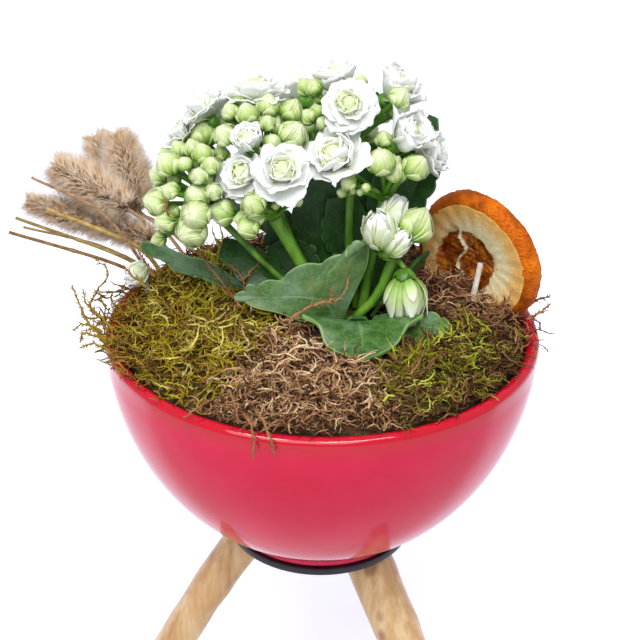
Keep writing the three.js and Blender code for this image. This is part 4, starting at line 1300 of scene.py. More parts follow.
# %% Lines for plain leaves
RIB_STEPS = 40
OVATE = [0.12, 0.5, 1, 0.86, 0.2]
BLUNT = [0.12, 0.55, 0.95, 1, 0.5]
SPOON = [0.3, 0.7, 0.85, 1, 0.25]


def even_notches(lobes):
    """Notches spread evenly over the outer four fifths of a margin."""
    return [0.2 + 0.72 * (k + 0.5) / lobes for k in range(lobes)]


def ovate(rib, across, half, cup=0, lobes=5, outline=OVATE):
    """Both margins of a plain leaf, set off from its rib and lifted by the cup."""
    line = smooth_line(rib, RIB_STEPS)
    side = Vector(across).normalized()
    margins = []
    for sign in (-1, 1):
        margin = []
        for i, share in enumerate(outline):
            k = i * RIB_STEPS // (len(outline) - 1)
            tangent = (line[min(k + 1, RIB_STEPS)] - line[max(k - 1, 0)]).normalized()
            lift = tangent.cross(side).normalized()
            margin.append(line[k] + side * sign * half * share + lift * cup * share)
        margins.append(margin)
    return {"rib": rib, "margins": margins, "notches": [even_notches(lobes)] * 2}


# %% Set out the leaves
LEAVES = {
    "leaf_front_left": {
        "rib": [
            (5, -16, 7), (3.5, -16.5, 13), (0, -17.3, 18), (-8, -18.7, 21), (-19, -19.3, 21),
            (-31.4, -18.5, 20.5),
        ],
        "margins": [
            [(4, -16.5, 6), (0, -18.5, 9), (-6, -20.5, 12), (-13, -22, 14.5), (-23, -22, 16.5),
             (-30, -20, 18.5), (-31.4, -18.5, 20.5)],
            [(6.7, -15.5, 8), (11, -13, 19), (15, -10, 28), (16, -8.5, 35.5), (15, -9, 40),
             (12.5, -9.7, 39.5), (5.8, -11, 34), (-6.6, -14, 32), (-18.3, -17, 27), (-26.8, -18, 24.6),
             (-31.4, -18.5, 20.5)],
        ],
        "notches": [[0.8], [0.4925, 0.5825, 0.6575, 0.7775, 0.855, 0.93]],
        "depth": 2.8,
    },
    "leaf_front": {
        "rib": [(11, -15, 7), (12.5, -22, 12), (13.5, -30, 13), (14, -37, 12), (14, -44, 9.6)],
        "margins": [
            [(9, -15, 7), (-2, -20, 12), (-7.2, -27, 18), (-1.8, -31, 15.8), (1.2, -36, 11.6),
             (7, -41, 10), (14, -44, 9.6)],
            [(13, -15, 7), (27, -18, 11), (35.4, -24, 17.2), (30.4, -29, 14.6), (26, -36, 12.3),
             (20.4, -41.4, 10.8), (14, -44, 9.6)],
        ],
        "notches": [[], [0.5]],
        "depth": 0.6,
    },
    "leaf_right_low": {
        "rib": [(18, -12, 8), (27, -17, 10), (36, -20.5, 10.4), (45.4, -20, 9.4)],
        "margins": [
            [(18, -14, 6.5), (27, -24, 7.4), (35, -27.5, 7.5), (42, -26.5, 7.5), (45.4, -20, 9.4)],
            [(19, -10.5, 9), (28, -13, 12), (37, -15.5, 13.6), (43.5, -16.4, 12.2), (45.4, -20, 9.4)],
        ],
        "notches": [[0.35, 0.62], [0.3, 0.47, 0.68]],
        "depth": 1.4,
    },
    "leaf_left_low": {
        "rib": [(-4, -4, 7), (-24, 1, 12), (-45, 7, 18), (-58, 11, 21.5), (-67.7, 14, 23)],
        "margins": [
            [(-5, -5, 6), (-24, -2, 10), (-46, 4.5, 15), (-58, 9, 18.5), (-64, 12, 20.5), (-67.7, 14, 23)],
            [(-5, -3, 8), (-24, 3, 13), (-45, 8.5, 21.5), (-59.4, 13, 25), (-66, 14.5, 25.8),
             (-67.7, 14, 23)],
        ],
        "notches": [[0.4, 0.6], [0.3, 0.45, 0.72]],
        "depth": 1.6,
    },
    "leaf_left_mid": ovate(
        [(0, -10, 7), (-13, -7, 18), (-25, -3, 25), (-37, 2, 30)], (0.2, 0.75, 0.5), 8, 1.5, outline=BLUNT,
    ),
    "leaf_inner_left": {
        "rib": [(-2, -2, 8), (-7, 1, 15), (-10, 4, 23), (-12.5, 6, 31.5)],
        "margins": [
            [(-3, -2, 8), (-12, 1, 14), (-20.6, 4.5, 22.5), (-20.5, 6, 29), (-12.5, 6, 31.5)],
            [(-1, -2, 8), (-3, 0, 15), (-1.2, 3.5, 23), (-4, 6, 30), (-12.5, 6, 31.5)],
        ],
        "notches": [[0.5, 0.64, 0.8], [0.45, 0.6, 0.8]],
        "depth": 1.5,
    },
    "leaf_inner": ovate(
        [(15, 0, 8), (13.5, 5.5, 20), (9.5, 8.5, 32), (6, 10, 47)], (1, 0.1, 0.1), 10, lobes=6,
        outline=BLUNT,
    ),
    "leaf_right_tall": ovate(
        [(18, -2, 9), (26, 4, 30), (30.8, 8.5, 45.5), (35, 12, 59), (38.2, 14, 76.5)],
        (0.9, -0.25, -0.35), 7.2, -1.5, outline=SPOON,
    ),
    "leaf_right_mid": ovate(
        [(18, -8, 8), (25, -6, 16), (31, -4, 23), (36, -2, 30)], (0.5, 0.6, 0.1), 6.5, lobes=4,
        outline=BLUNT,
    ),
    "leaf_small": ovate(
        [(12, -15, 7), (12.1, -16.3, 8), (12.3, -17.2, 10), (12.6, -18, 12.6)], (1, 0, 0), 4.6, lobes=3,
        outline=BLUNT,
    ),
    "leaf_back_left": ovate(
        [(4, 5, 8), (-8, 18, 25), (-26, 32, 34), (-40, 41, 38)], (0.6, 0.75, -0.3), 13, 1.5,
    ),
    "leaf_back": ovate(
        [(9, 4, 6), (11, 24, 20), (12, 42, 28), (13, 58, 27)], (1, 0, 0.1), 13, -2,
    ),
    "leaf_back_right": ovate(
        [(12.2, 1.2, 7.5), (19, 18, 26), (23.5, 33, 34.5), (26, 47, 36)], (0.85, -0.4, 0.3), 9, 1.5,
    ),
}

# Smaller leaves that stand behind the stems and belong to the inner leaf.
INNER_LEAVES = [
    ovate([(4, 4, 9), (1, 8, 22), (-3, 12, 40), (-4, 14, 57)], (1, 0.1, 0.1), 9, lobes=5, outline=BLUNT),
    ovate([(9, 5, 9), (10, 10, 26), (12, 14, 46), (14, 16, 65)], (1, 0.1, 0.1), 9, lobes=6, outline=BLUNT),
    ovate([(-3, 6, 9), (-9, 9, 18), (-14, 12, 28), (-17, 14, 38)], (1, 0.2, 0.3), 8, lobes=4, outline=BLUNT),
    ovate([(15, 3, 9), (20, 8, 26), (24, 12, 46), (27, 14, 65)], (1, 0, -0.2), 8, lobes=5, outline=BLUNT),
]
print("leaves:", len(LEAVES) + len(INNER_LEAVES))


# %% Lay the blades
LEAF_THICKNESS = 1.3
LEAF_BEVEL = 0.42
LEAF_ACROSS = 14
LEAF_WAVE = 0.5
LEAF_SWELL = 0.35


def lobe(u, notches):
    """0 at a notch, 1 in the middle of a lobe."""
    stops = [-0.1, *notches, 1.1]
    for low, high in zip(stops, stops[1:]):
        if u <= high:
            return math.sin(math.pi * (u - low) / (high - low)) ** 0.5


def inwards(line, middle, k):
    """The direction from a margin into the leaf, square to the margin."""
    tangent = line[min(k + 1, len(line) - 1)] - line[max(k - 1, 0)]
    inner = middle[k] - line[k]
    inner -= tangent * inner.dot(tangent) / max(tangent.length_squared, 1e-9)
    return inner.normalized() * min(1, (middle[k] - line[k]).length / 4)


def leaf(name, rib, margins, notches, depth=1.5, coarse=1):
    """Depth is how far a notch is cut in, in mm; coarse leaves have fewer, larger faces."""
    along_steps = (56 + 4 * sum(map(len, notches))) // coarse
    calm()
    bpy.ops.mesh.primitive_grid_add(
        x_subdivisions=along_steps, y_subdivisions=LEAF_ACROSS // coarse, size=1,
    )
    piece = bpy.context.object
    middle = smooth_line(rib, along_steps)
    sides = [smooth_line(points, along_steps) for points in margins]
    inward = [[inwards(line, middle, k) for k in range(along_steps + 1)] for line in sides]
    phase = 6.3 * scatter(len(name) + depth)
    for vertex in piece.data.vertices:
        u = vertex.co.x + 0.5
        away = 2 * vertex.co.y
        side = 1 if away > 0 else 0
        k = round(u * along_steps)
        pulled = depth * (1 - lobe(u, notches[side])) if notches[side] else 0
        wave = LEAF_WAVE * abs(away) ** 3 * math.sin(17 * u + phase)
        spot = middle[k].lerp(sides[side][k], abs(away)) + inward[side][k] * pulled * abs(away) ** 3
        swell = LEAF_SWELL * (1 - away ** 2) * math.sin(9 * u + phase)
        vertex.co = at(spot.x, spot.y, spot.z + (wave + swell) * math.sin(math.pi * u))
    apply(piece, "SOLIDIFY", thickness=LEAF_THICKNESS * MM, offset=0)
    apply(
        piece, "BEVEL", width=LEAF_BEVEL * MM, segments=2, limit_method="ANGLE",
        angle_limit=math.radians(55),
    )
    piece.name = piece.data.name = "fleshy_" + name
    return smooth(piece)


# %% [markdown]
# The skin is waxy: mid green with a greyish bloom, mottled, finely specked, with a lighter rib that
# only just shows and a pale thin rim round every lobe. The inner leaves are darker and have less
# bloom than the old outer one at the front left, so the skin takes its greens as arguments. Their
# darker greens are partly the younger leaves' own colour and partly painted shade, as they stand
# deeper in the plant under the flowers.


# %% Leaf skin
def leaf_skin(name, deep, light, rim, bloom, worn=0.0):
    """Green from deep to light, with its rim colour, its bloom and how far it has browned."""
    skin = Surface(
        name, Roughness=0.4, Specular_IOR_Level=0.35, Coat_Weight=0.06, Coat_Roughness=0.3,
    )
    along, across = skin.across()
    away = (across - 0.5).size() * 2
    vein_line = (along * 34 - away * 9).sine()
    veins = skin.step(vein_line, 0.86, 1.0) * skin.step(away, 0.9, 0.5)
    rib = skin.step(away, 0.05, 0.01) * skin.step(along, 0.95, 0.7)
    mottle = skin.noise(260, 4) * 0.6 + skin.noise(900, 2) * 0.4
    green = skin.mix(skin.step(mottle, 0.36, 0.66), deep, light)
    veined = skin.mix(veins * 0.08 + rib * 0.25, green, rim)
    patch = skin.step(skin.noise(70, 3), 0.48, 0.72) * worn
    browned = skin.mix(patch, veined, rgb(128, 134, 78))
    bloomed = skin.step(skin.noise(110, 3), 0.42, 0.72) * bloom
    greyed = skin.mix(bloomed, browned, rgb(150, 176, 156))
    specks = skin.step(skin.cells(700), 0.16, 0.06)
    specked = skin.mix(specks * 0.35, greyed, rgb(170, 190, 160))
    edge = skin.step(away, 0.93, 0.99)
    skin.colour(skin.mix(edge * 0.7, specked, rim))
    skin.rough(0.3 + 0.2 * mottle)
    skin.relief(mottle * 0.6 + veins * 0.3 - rib, 0.2, 0.5)
    return skin


old_skin = leaf_skin(
    "leaf_skin_old", rgb(62, 98, 44), rgb(92, 126, 68), rgb(150, 184, 124), 0.25, worn=0.5,
)
front_skin = leaf_skin("leaf_skin_front", rgb(46, 84, 28), rgb(84, 122, 56), rgb(150, 190, 104), 0.25)
low_skin = leaf_skin("leaf_skin_low", rgb(52, 92, 46), rgb(78, 118, 66), rgb(124, 164, 104), 0.2)
# The young skin is darker partly by its own colour and partly as painted shade on the inner and back leaves.
young_shaded_skin = leaf_skin("leaf_skin_young_shaded", rgb(26, 66, 14), rgb(48, 96, 28), rgb(84, 130, 50), 0.08)
LEAF_SKINS = {
    "leaf_front_left": old_skin, "leaf_left_low": low_skin, "leaf_front": front_skin,
    "leaf_right_low": front_skin,
}
for name, outline in LEAVES.items():
    parts = [leaf(name, **outline)]
    if name == "leaf_inner":
        parts += [leaf(f"{name}_{k}", coarse=2, **inner) for k, inner in enumerate(INNER_LEAVES)]
    blades = fused("fleshy_" + name, parts)
    hand_over(blades, "leaf", [name], [LEAF_SKINS.get(name, young_shaded_skin)])

# %% [markdown]
# ## Dried grasses
#
# The four fluffy heads are the ears of a soft grass: over two hundred spikelets, each with a tuft
# of silky hairs that lean towards the tip. A hair is a three-sided sliver, straight or bent, which
# is copied in tufts over a slim core, and the tufts are set by the golden angle. Particles would do
# the same on screen, but only mesh is left when the piece is exported.

# %% Model a hair
TUFTS = 230
HAIRS_IN_TUFT = 33
HAIR_GIRTH = 0.02


def hair(name, bend):
    """A sliver of length 1 along Z, bent towards X."""
    calm()
    bpy.ops.mesh.primitive_cone_add(
        vertices=3, radius1=HAIR_GIRTH, radius2=0, depth=1, location=(0, 0, 0.5),
    )
    piece = bpy.context.object
    bpy.ops.object.mode_set(mode="EDIT")
    choose(lambda p: p.z > 0.4)
    bpy.ops.transform.translate(value=(bend, 0, 0))
    bpy.ops.object.mode_set(mode="OBJECT")
    bpy.ops.object.transform_apply(location=True)
    lay_uv(piece, lambda p: (0.5, clamped(p.z)))
    piece.name = name
    return piece


HAIRS = [hair(f"hair_{i}", bend) for i, bend in enumerate((-0.14, 0, 0.14))]
print("hairs in a head:", TUFTS * HAIRS_IN_TUFT)

# %% Silk
silk = Surface("grass_silk", Roughness=0.8, Sheen_Weight=0.35, Specular_IOR_Level=0.2)
hair_along = silk.across()[1]
tan = silk.ramp(
    silk.tint() * 0.75 + silk.noise(90, 2) * 0.4,
    (0.2, rgb(212, 176, 136)), (0.5, rgb(232, 206, 172)), (0.85, rgb(246, 230, 212)),
)
silk.colour(silk.mix(silk.step(hair_along, 0.05, 0.75), rgb(192, 144, 92), tan))
silk.relief(silk.noise(1500, 2), 0.05, 0.3)
tell(silk)

# %% Make up the seed heads
TAILS = [
    {"name": "tail_right", "base": (-72, 44, 25), "tip": (-79, 48, 54), "girth": 8.8, "foot": (-50, 41, 0)},
    {"name": "tail_back", "base": (-77, 55, 21), "tip": (-89.5, 60, 48), "girth": 8.6, "foot": (-45, 46, 0)},
    {"name": "tail_upper", "base": (-75, 34, 30), "tip": (-101, 34, 47), "girth": 8.8, "foot": (-58, 46, 0)},
    {"name": "tail_low", "base": (-65, 36, 16), "tip": (-112, 32, 33), "girth": 7, "foot": (-56, 34, 0)},
]
CORE_STEPS = 12


def tail(name, base, tip, girth, foot):
    """A seed head from its base to its tip, on a stalk from its foot."""
    rng = random.Random(name)
    base, tip = Vector(base), Vector(tip)
    axis = (tip - base).normalized()
    length = (tip - base).length
    side = axis.orthogonal().normalized()
    over = axis.cross(side)
    core_reach = 0.45 * girth

    def surface(share, turn, reach):
        out = math.cos(turn) * side + math.sin(turn) * over
        swell = math.sin(math.pi * (0.06 + 0.88 * share)) ** 0.6
        return base + axis * length * share + out * reach * swell, out

    places = []
    for i in range(TUFTS):
        share = (i + 0.5) / TUFTS
        turn = i * GOLDEN_ANGLE
        lean = 0.35 + 0.6 * share + rng.uniform(-0.15, 0.15)
        sideways = rng.uniform(-0.3, 0.3)
        hue = rng.random()
        long = rng.uniform(0.82, 1.16)
        for _ in range(HAIRS_IN_TUFT):
            root, out = surface(
                clamped(share + rng.gauss(0, 0.018)), turn + rng.gauss(0, 0.12), core_reach,
            )
            around = axis.cross(out)
            fan = rng.gauss(0, 0.2)
            direction = (
                out * (1 + 0.2 * fan) + axis * (lean + rng.gauss(0, 0.2)) + around * (sideways + fan)
            ).normalized()
            size = (0.8 * girth + 1.2) * long * rng.uniform(0.55, 1.1) * (1 - 0.3 * share ** 3)
            spot = aimed(at(*root), direction, rng.uniform(0, 6.3))
            places.append((
                rng.randrange(3), spot @ Matrix.Scale(size * MM, 4), 0.7 * hue + 0.3 * rng.random(),
            ))
    hairs = copied(name + "_hairs", HAIRS, places)
    middle = base.lerp(tip, 0.5)
    bend = Vector(foot).lerp(base, 0.6) + Vector((1, 0, 2))
    routes = [tapered([foot, bend, base, middle], [0.8, 0.7], 16)]
    core = []
    for k in range(CORE_STEPS + 1):
        share = k / CORE_STEPS
        core.append((*base.lerp(tip, share), core_reach * math.sin(math.pi * (0.04 + 0.92 * share)) ** 0.7))
    routes.append(core)
    ear = fused("ear_" + name, [hairs, drawn(name + "_core", routes)])
    hand_over(ear, "grass_head", [name], [silk])


for each in TAILS:
    tail(**each)
discard(HAIRS)

# %% [markdown]
# The straws are bare culms: thin and nearly straight, with two slight joints each. Every one has
# weathered to its own colour.

# %% Straws
STRAWS = [
    {"name": "straw_rust", "line": [(-63, 25, 1), (-82, 23, 32), (-107, 18, 49)], "girth": 0.7,
     "colours": (rgb(140, 98, 66), rgb(190, 152, 112))},
    {"name": "straw_gold", "line": [(-61.5, 31, 3), (-72, 27.6, 17.6), (-102, 17, 37)], "girth": 0.9,
     "colours": (rgb(176, 136, 60), rgb(214, 186, 108))},
    {"name": "straw_olive", "line": [(-60, 24, 2), (-76, 21.7, 15.5), (-113, 13, 35)], "girth": 0.8,
     "colours": (rgb(124, 104, 48), rgb(176, 148, 84))},
    {"name": "straw_brown", "line": [(-64, 22, 2), (-78, 19.2, 13.5), (-115, 9, 31)], "girth": 0.8,
     "colours": (rgb(112, 78, 44), rgb(160, 122, 74))},
    {"name": "straw_thin", "line": [(-56, 28.5, 1), (-84, 27, 17), (-112, 20, 28)], "girth": 0.6,
     "colours": (rgb(120, 88, 52), rgb(168, 136, 86))},
]
STRAW_STEPS = 40
JOINTS_AT = (14, 29)
JOINT_SWELL = 1.3
for each in STRAWS:
    route = tapered(each["line"], [each["girth"], 0.8 * each["girth"]], STRAW_STEPS)
    jointed = [
        (x, y, z, r * (JOINT_SWELL if k in JOINTS_AT else 1)) for k, (x, y, z, r) in enumerate(route)
    ]
    straw = drawn("culm_" + each["name"], [jointed])
    skin = Surface("dry_" + each["name"], Roughness=0.45)
    streaks = skin.noise(700, 3, skin.place(scale=(0.25, 1, 1)))
    dark, light = each["colours"]
    skin.colour(skin.ramp(streaks, (0.36, dark), (0.64, light)))
    skin.relief(streaks, 0.08, 0.5)
    hand_over(straw, "straw", [each["name"]], [skin])

# %% [markdown]
# ## Dried orange slice
#
# This is an end slice, dried until the flesh has shrunk back: pebbled rind outside, a wide ring of
# cream pith that slopes in, and a hollow of dark flesh split by one pale wavy skin. A circle is
# extruded into a thick disc first. The hollow, the warp and the pebbles are then pressed into it by
# formula, seen from the front, X to the right and Y up.

# %% Sizes of the slice
SLICE_RADIUS = 26.5
SLICE_THICKNESS = 8.5
SLICE_SIDES = 120
FACE_RINGS = 26
SLICE_AT = (57.6, 17, 19)
SLICE_AZIMUTH = math.radians(231)
SLICE_FACING = (math.cos(SLICE_AZIMUTH), math.sin(SLICE_AZIMUTH), -0.05)
FACE_REACH = 0.865 * SLICE_RADIUS
CHART_SIZE = 60
HOLLOW_AT = (-4.6, -2)
HOLLOW_SIZE = (12.6, 13.6)
HOLLOW_SLOPE = 0.16
SPLIT_AT = -6.8
SPLIT_WAVE = 1.3
SPLIT_TURNS = 0.55
SPLIT_LEAN = 0.06
SPLIT_HALF = 0.9
SPLIT_END = -9
print("slice:", 2 * SLICE_RADIUS, "mm across")

# %% Rind, pith and flesh
rind = Surface("orange_rind", Roughness=0.65, Specular_IOR_Level=0.15)
pores = rind.cells(1400)
patches = rind.noise(120, 3)
rind.colour(rind.mix(
    rind.step(pores, 0.4, 0.1) * 0.14,
    rind.ramp(patches, (0.36, rgb(158, 74, 10)), (0.5, rgb(202, 96, 4)), (0.66, rgb(226, 120, 12))),
    rgb(132, 58, 10),
))
rind.relief(rind.step(pores, 0.05, 0.5) + patches, 0.6, 0.8)

pulp = Surface(
    "pith_and_flesh", Roughness=0.6, Subsurface_Weight=0.4, Subsurface_Radius=(1, 0.9, 0.6),
    Subsurface_Scale=4 * MM,
)
right, up = pulp.across()
flat_x, flat_y = (right - 0.5) * CHART_SIZE, (up - 0.5) * CHART_SIZE
reach = (flat_x * flat_x + flat_y * flat_y).root()
off_x, off_y = (flat_x - HOLLOW_AT[0]) / HOLLOW_SIZE[0], (flat_y - HOLLOW_AT[1]) / HOLLOW_SIZE[1]
hollow_reach = (off_x * off_x + off_y * off_y).root()
ragged = hollow_reach + (pulp.noise(420, 4) - 0.5) * 0.34
in_flesh = pulp.step(ragged, 0.98, 0.9)
split = (flat_y * SPLIT_TURNS).sine() * SPLIT_WAVE + flat_y * SPLIT_LEAN + SPLIT_AT
on_skin = pulp.step((flat_x - split).size(), 0.75, 0.35)
on_skin *= pulp.step(flat_y, SPLIT_END - 1, SPLIT_END + 1)
fibre = pulp.noise(800, 3)
cream = pulp.ramp(fibre, (0.3, rgb(255, 226, 158)), (0.5, rgb(255, 240, 192)), (0.75, rgb(255, 248, 222)))
outer_warm = pulp.step(reach + (pulp.noise(300, 3) - 0.5) * 6, 12, 21)
pith = pulp.mix(outer_warm * 0.85, cream, rgb(255, 190, 88))
# Darker olive-tan on the left wall of the hollow: partly thinner pith there, partly painted shade on that
# wall.
left_wall_tan_and_shade = pulp.step(flat_x, -12, -19)
pith = pulp.mix(left_wall_tan_and_shade * 0.4, pith, rgb(186, 150, 84))
flesh = pulp.ramp(
    pulp.noise(330, 5), (0.34, rgb(100, 36, 4)), (0.5, rgb(168, 84, 12)), (0.7, rgb(232, 150, 44)),
)
pulp.colour(pulp.mix(in_flesh * (1 - on_skin), pith, flesh))
pulp.rough(0.62 - in_flesh * 0.34)
pulp.relief(fibre + pulp.noise(330, 5) * 1.5, 0.5, 0.6)
tell(rind, pulp)


# %% The forms pressed into the slice
def slice_profile():
    """Half a section, from the middle of the back round the rind to the middle of the face."""
    r, t = SLICE_RADIUS, SLICE_THICKNESS
    corners = [(1, -0.5 * t), (0.86 * r, -0.5 * t), (0.95 * r, -0.44 * t), (r, -0.25 * t),
               (0.995 * r, 0.05 * t), (0.94 * r, 0.34 * t), (0.86 * r, 0.46 * t)]
    face = [(share * r, (0.46 - 0.52 * (0.86 - share) / 0.86) * t)
            for share in np.linspace(0.83, 0.02, FACE_RINGS)]
    line = []
    for (r1, z1), (r2, z2) in zip(corners, corners[1:]):
        steps = max(1, round(math.dist((r1, z1), (r2, z2)) / 2))
        line += [(r1 + (r2 - r1) * k / steps, z1 + (z2 - z1) * k / steps) for k in range(steps)]
    return line + [corners[-1]] + face


def flesh_depth(x, y):
    """0 on the pith and 1 well inside the hollow of the flesh."""
    turn = math.atan2(y - HOLLOW_AT[1], x - HOLLOW_AT[0])
    edge = 1 + 0.07 * math.sin(3 * turn + 1) + 0.05 * math.sin(7 * turn) + 0.03 * math.sin(13 * turn + 2)
    away = math.hypot((x - HOLLOW_AT[0]) / HOLLOW_SIZE[0], (y - HOLLOW_AT[1]) / HOLLOW_SIZE[1]) / edge
    return clamped((1 - away) / HOLLOW_SLOPE)


def membrane(x, y):
    """1 on the pale skin that splits the flesh."""
    split = SPLIT_AT + SPLIT_WAVE * math.sin(SPLIT_TURNS * y) + SPLIT_LEAN * y
    return max(0, 1 - abs(x - split) / SPLIT_HALF) if y > SPLIT_END else 0


print("rings of the slice:", len(slice_profile()))

# %% Turn and warp the slice
FLESH_SUNK = 1.6
FLESH_ROUGH = 0.5
SKIN_RISE = 2.6
PITH_RIPPLE = 0.22
PEBBLE = 0.26
WARP = 0.9
disc = turned("dried_orange_slice", slice_profile(), SLICE_SIDES)
for vertex in disc.data.vertices:
    x, y, z = vertex.co / MM
    radius = math.hypot(x, y)
    turn = math.atan2(y, x)
    face = clamped(z + 0.1 * SLICE_THICKNESS) if radius < 0.87 * SLICE_RADIUS else 0
    deep = flesh_depth(x, y) * face
    rough = math.sin(2.1 * x + 1.3 * y) * math.sin(1.7 * y - 1.1 * x)
    rough += 0.6 * math.sin(3.7 * x) * math.sin(4.1 * y)
    z += deep * (-FLESH_SUNK + FLESH_ROUGH * rough + SKIN_RISE * membrane(x, y))
    z += (1 - deep) * face * PITH_RIPPLE * math.sin(21 * turn) * (radius / SLICE_RADIUS)
    pebble = PEBBLE * math.sin(47 * turn) * math.sin(2.3 * z + 9 * turn)
    if radius <= 0.9 * SLICE_RADIUS:
        pebble = 0
    swell = 1 + 0.02 * math.sin(3 * turn + 1) + 0.006 * math.sin(11 * turn) + pebble / SLICE_RADIUS
    z += WARP * math.sin(2 * turn + 0.6) * (radius / SLICE_RADIUS) ** 2
    vertex.co = Vector((x * swell, y * swell, z)) * MM
lay_uv(disc, lambda p: (0.5 + p.x / MM / CHART_SIZE, 0.5 + p.y / MM / CHART_SIZE))
disc.data.materials.append(rind.material)
disc.data.materials.append(pulp.material)
for face in disc.data.polygons:
    radius = face.center.xy.length / MM
    face.material_index = int(face.normal.z > 0.2 and radius < FACE_REACH)
disc.matrix_world = aimed(at(*SLICE_AT), SLICE_FACING)
hold(disc)
bpy.ops.object.transform_apply(location=True, rotation=True, scale=True)
smooth(disc, 60)

# %% Add the white pick
pick = drawn("white_pick", [tapered([(58, 10.4, 20.8), (57, 8.8, 15), (55.6, 6.8, 7)], [1.1, 1.2], 8)])
bone = Surface("pick_white", Roughness=0.6)
bone.colour(bone.ramp(bone.noise(300, 3), (0.35, rgb(206, 196, 180)), (0.65, rgb(236, 230, 218))))
pick.data.materials.append(bone.material)
hand_over(fused("dried_orange_slice", [disc, pick]), "rind", ["orange_slice"])

# %% [markdown]
# ## Moss
#
# The soil is hidden under four pads of dried moss, each in its own colour. What reads as moss is a
# tangle of thin branched sprigs, so a few sprigs are drawn with three sides, knobbly from their
# tiny leaves and with short side shoots.

# %% Model the sprigs
SPRIG_KINDS = 7
SPRIG_KNEES = 8
SPRIG_SHOOTS = 5


def three_sided():
    """The section of a moss strand: a triangle of radius 1."""
    calm()
    bpy.ops.curve.primitive_nurbs_path_add(location=(0, 0, 0))
    section = bpy.context.object
    section.data.splines.clear()
    spline = section.data.splines.new("POLY")
    spline.points.add(2)
    for k, point in enumerate(spline.points):
        turn = 2 * math.pi * k / 3
        point.co = (math.cos(turn), math.sin(turn), 0, 1)
    spline.use_cyclic_u = True
    return section


SECTION = three_sided()


def sprig(name, seed, curl, length, girth):
    """A lying sprig along X: a bent knobbly strand with side shoots, in mm round the origin."""
    rng = random.Random(seed)
    heading, rise = 0.0, 0.3
    spot = Vector((-0.5 * length, 0, 0))
    strand = [(*spot, 0.7 * girth)]
    bend = rng.choice((-1, 1)) * curl
    routes = []
    for k in range(1, SPRIG_KNEES):
        heading += bend * rng.uniform(0.4, 1.5) + rng.uniform(-0.4, 0.4)
        rise = 0.6 * rise + rng.uniform(-0.5, 0.6)
        step = 1.15 * length / (SPRIG_KNEES - 1)
        spot = spot + step * Vector((math.cos(heading), math.sin(heading), rise)).normalized()
        knob = 1.22 if k % 2 else 0.85
        radius = girth * knob * (1 - 0.8 * (k / SPRIG_KNEES) ** 2)
        strand.append((*spot, radius))
        if k <= SPRIG_SHOOTS:
            side = 1 if k % 2 else -1
            turn = heading + side * rng.uniform(0.6, 1.1)
            reach = rng.uniform(1.4, 2.8) * (1 - 0.08 * k)
            tip = spot + reach * Vector((math.cos(turn), math.sin(turn), rng.uniform(-0.2, 0.8)))
            routes.append([(*spot, 0.62 * radius), (*tip, 0.12 * girth)])
    piece = drawn(name, [strand, *routes], origin=(0, 0, 0), section=SECTION)
    lay_uv(piece, lambda p: (0.5, clamped(p.x / MM / length + 0.5)))
    return piece


CURLY = [sprig(f"sprig_curly_{i}", 20 + i, 0.36, 10.5, 0.45) for i in range(SPRIG_KINDS)]
STRAIGHT = [sprig(f"sprig_straight_{i}", 40 + i, 0.26, 9.5, 0.41) for i in range(SPRIG_KINDS)]
print("sprigs:", [len(pattern.data.polygons) for pattern in CURLY + STRAIGHT], "faces")

# %% [markdown]
# Thousands of copies of the sprigs are laid over the pads, most of them flat, some standing up,
# and higher where the pad has a tuft. They leave a hollow free round the crown of the plant, keep
# clear of the two leaves that lie low on the moss, and are driest near the rim of the bowl. Sprigs
# on the tufts are made lighter and those low between them darker: painted light on the tops and
# painted shade in the hollows, over a random tone of each sprig.

# %% The height of the moss
MOUND_HEIGHT = 12
MOUND_RADIUS = 78
MOSS_LUMP = 1.3
MOSS_RADIUS = 73.4
CROWN_AT = (9, -7)
HOLLOW_RADIUS = 16
HIGH_TUFTS = [(46, 5, 12, 9), (60, -6, 12, 2.5), (-60, -10, 16, 3), (-40, -40, 12, 1.5)]


def mound(x, y):
    """Height of the moss over the rim, lumps included, in mm."""
    reach = min(math.hypot(x, y) / MOUND_RADIUS, 0.99)
    lump = math.sin(0.31 * x + 0.17 * y) + math.sin(0.23 * y - 0.29 * x + 2)
    return MOUND_HEIGHT * (1 - reach ** 2) ** 0.8 - 1 + MOSS_LUMP * lump


def hollow_edge(turn):
    """How far from the middle of the bowl the moss starts, round the hollow at the crown."""
    away = math.hypot(*CROWN_AT)
    swing = turn - math.atan2(CROWN_AT[1], CROWN_AT[0])
    return away * math.cos(swing) + math.sqrt(HOLLOW_RADIUS ** 2 - (away * math.sin(swing)) ** 2)


def fine_lump(x, y):
    """Small tufts, 0 to 1, finer than the lumps of the pad."""
    wave = math.sin(0.9 * x + 0.5 * y + 1) * math.sin(0.8 * y - 0.6 * x) + math.sin(0.45 * x - 0.7 * y)
    return 0.5 + 0.25 * wave


def heap(x, y, spots):
    """The sum of round hills, each (x, y, reach, height), at one place."""
    return sum(
        height * math.exp(-((x - mx) ** 2 + (y - my) ** 2) / reach ** 2) for mx, my, reach, height in spots
    )


print("moss at the front:", round(mound(0, -60), 1), "mm over the rim")


# %% Keep clear of the low leaves
SPARE_AT_LEAF = 2.5


def footprint(name):
    """The outline of a leaf from above, a little larger."""
    near, far = LEAVES[name]["margins"]
    corners = [Vector(p[:2]) for p in near + far[::-1]]
    middle = sum(corners, Vector((0, 0))) / len(corners)
    return [p + (p - middle).normalized() * SPARE_AT_LEAF for p in corners]


def inside(x, y, corners):
    """Whether a place lies inside an outline."""
    hit = False
    for a, b in zip(corners, corners[1:] + corners[:1]):
        if (a.y > y) != (b.y > y) and x < a.x + (b.x - a.x) * (y - a.y) / (b.y - a.y):
            hit = not hit
    return hit


LOW_LEAVES = [footprint("leaf_front"), footprint("leaf_right_low")]
print("corners of the low leaves:", [len(corners) for corners in LOW_LEAVES])


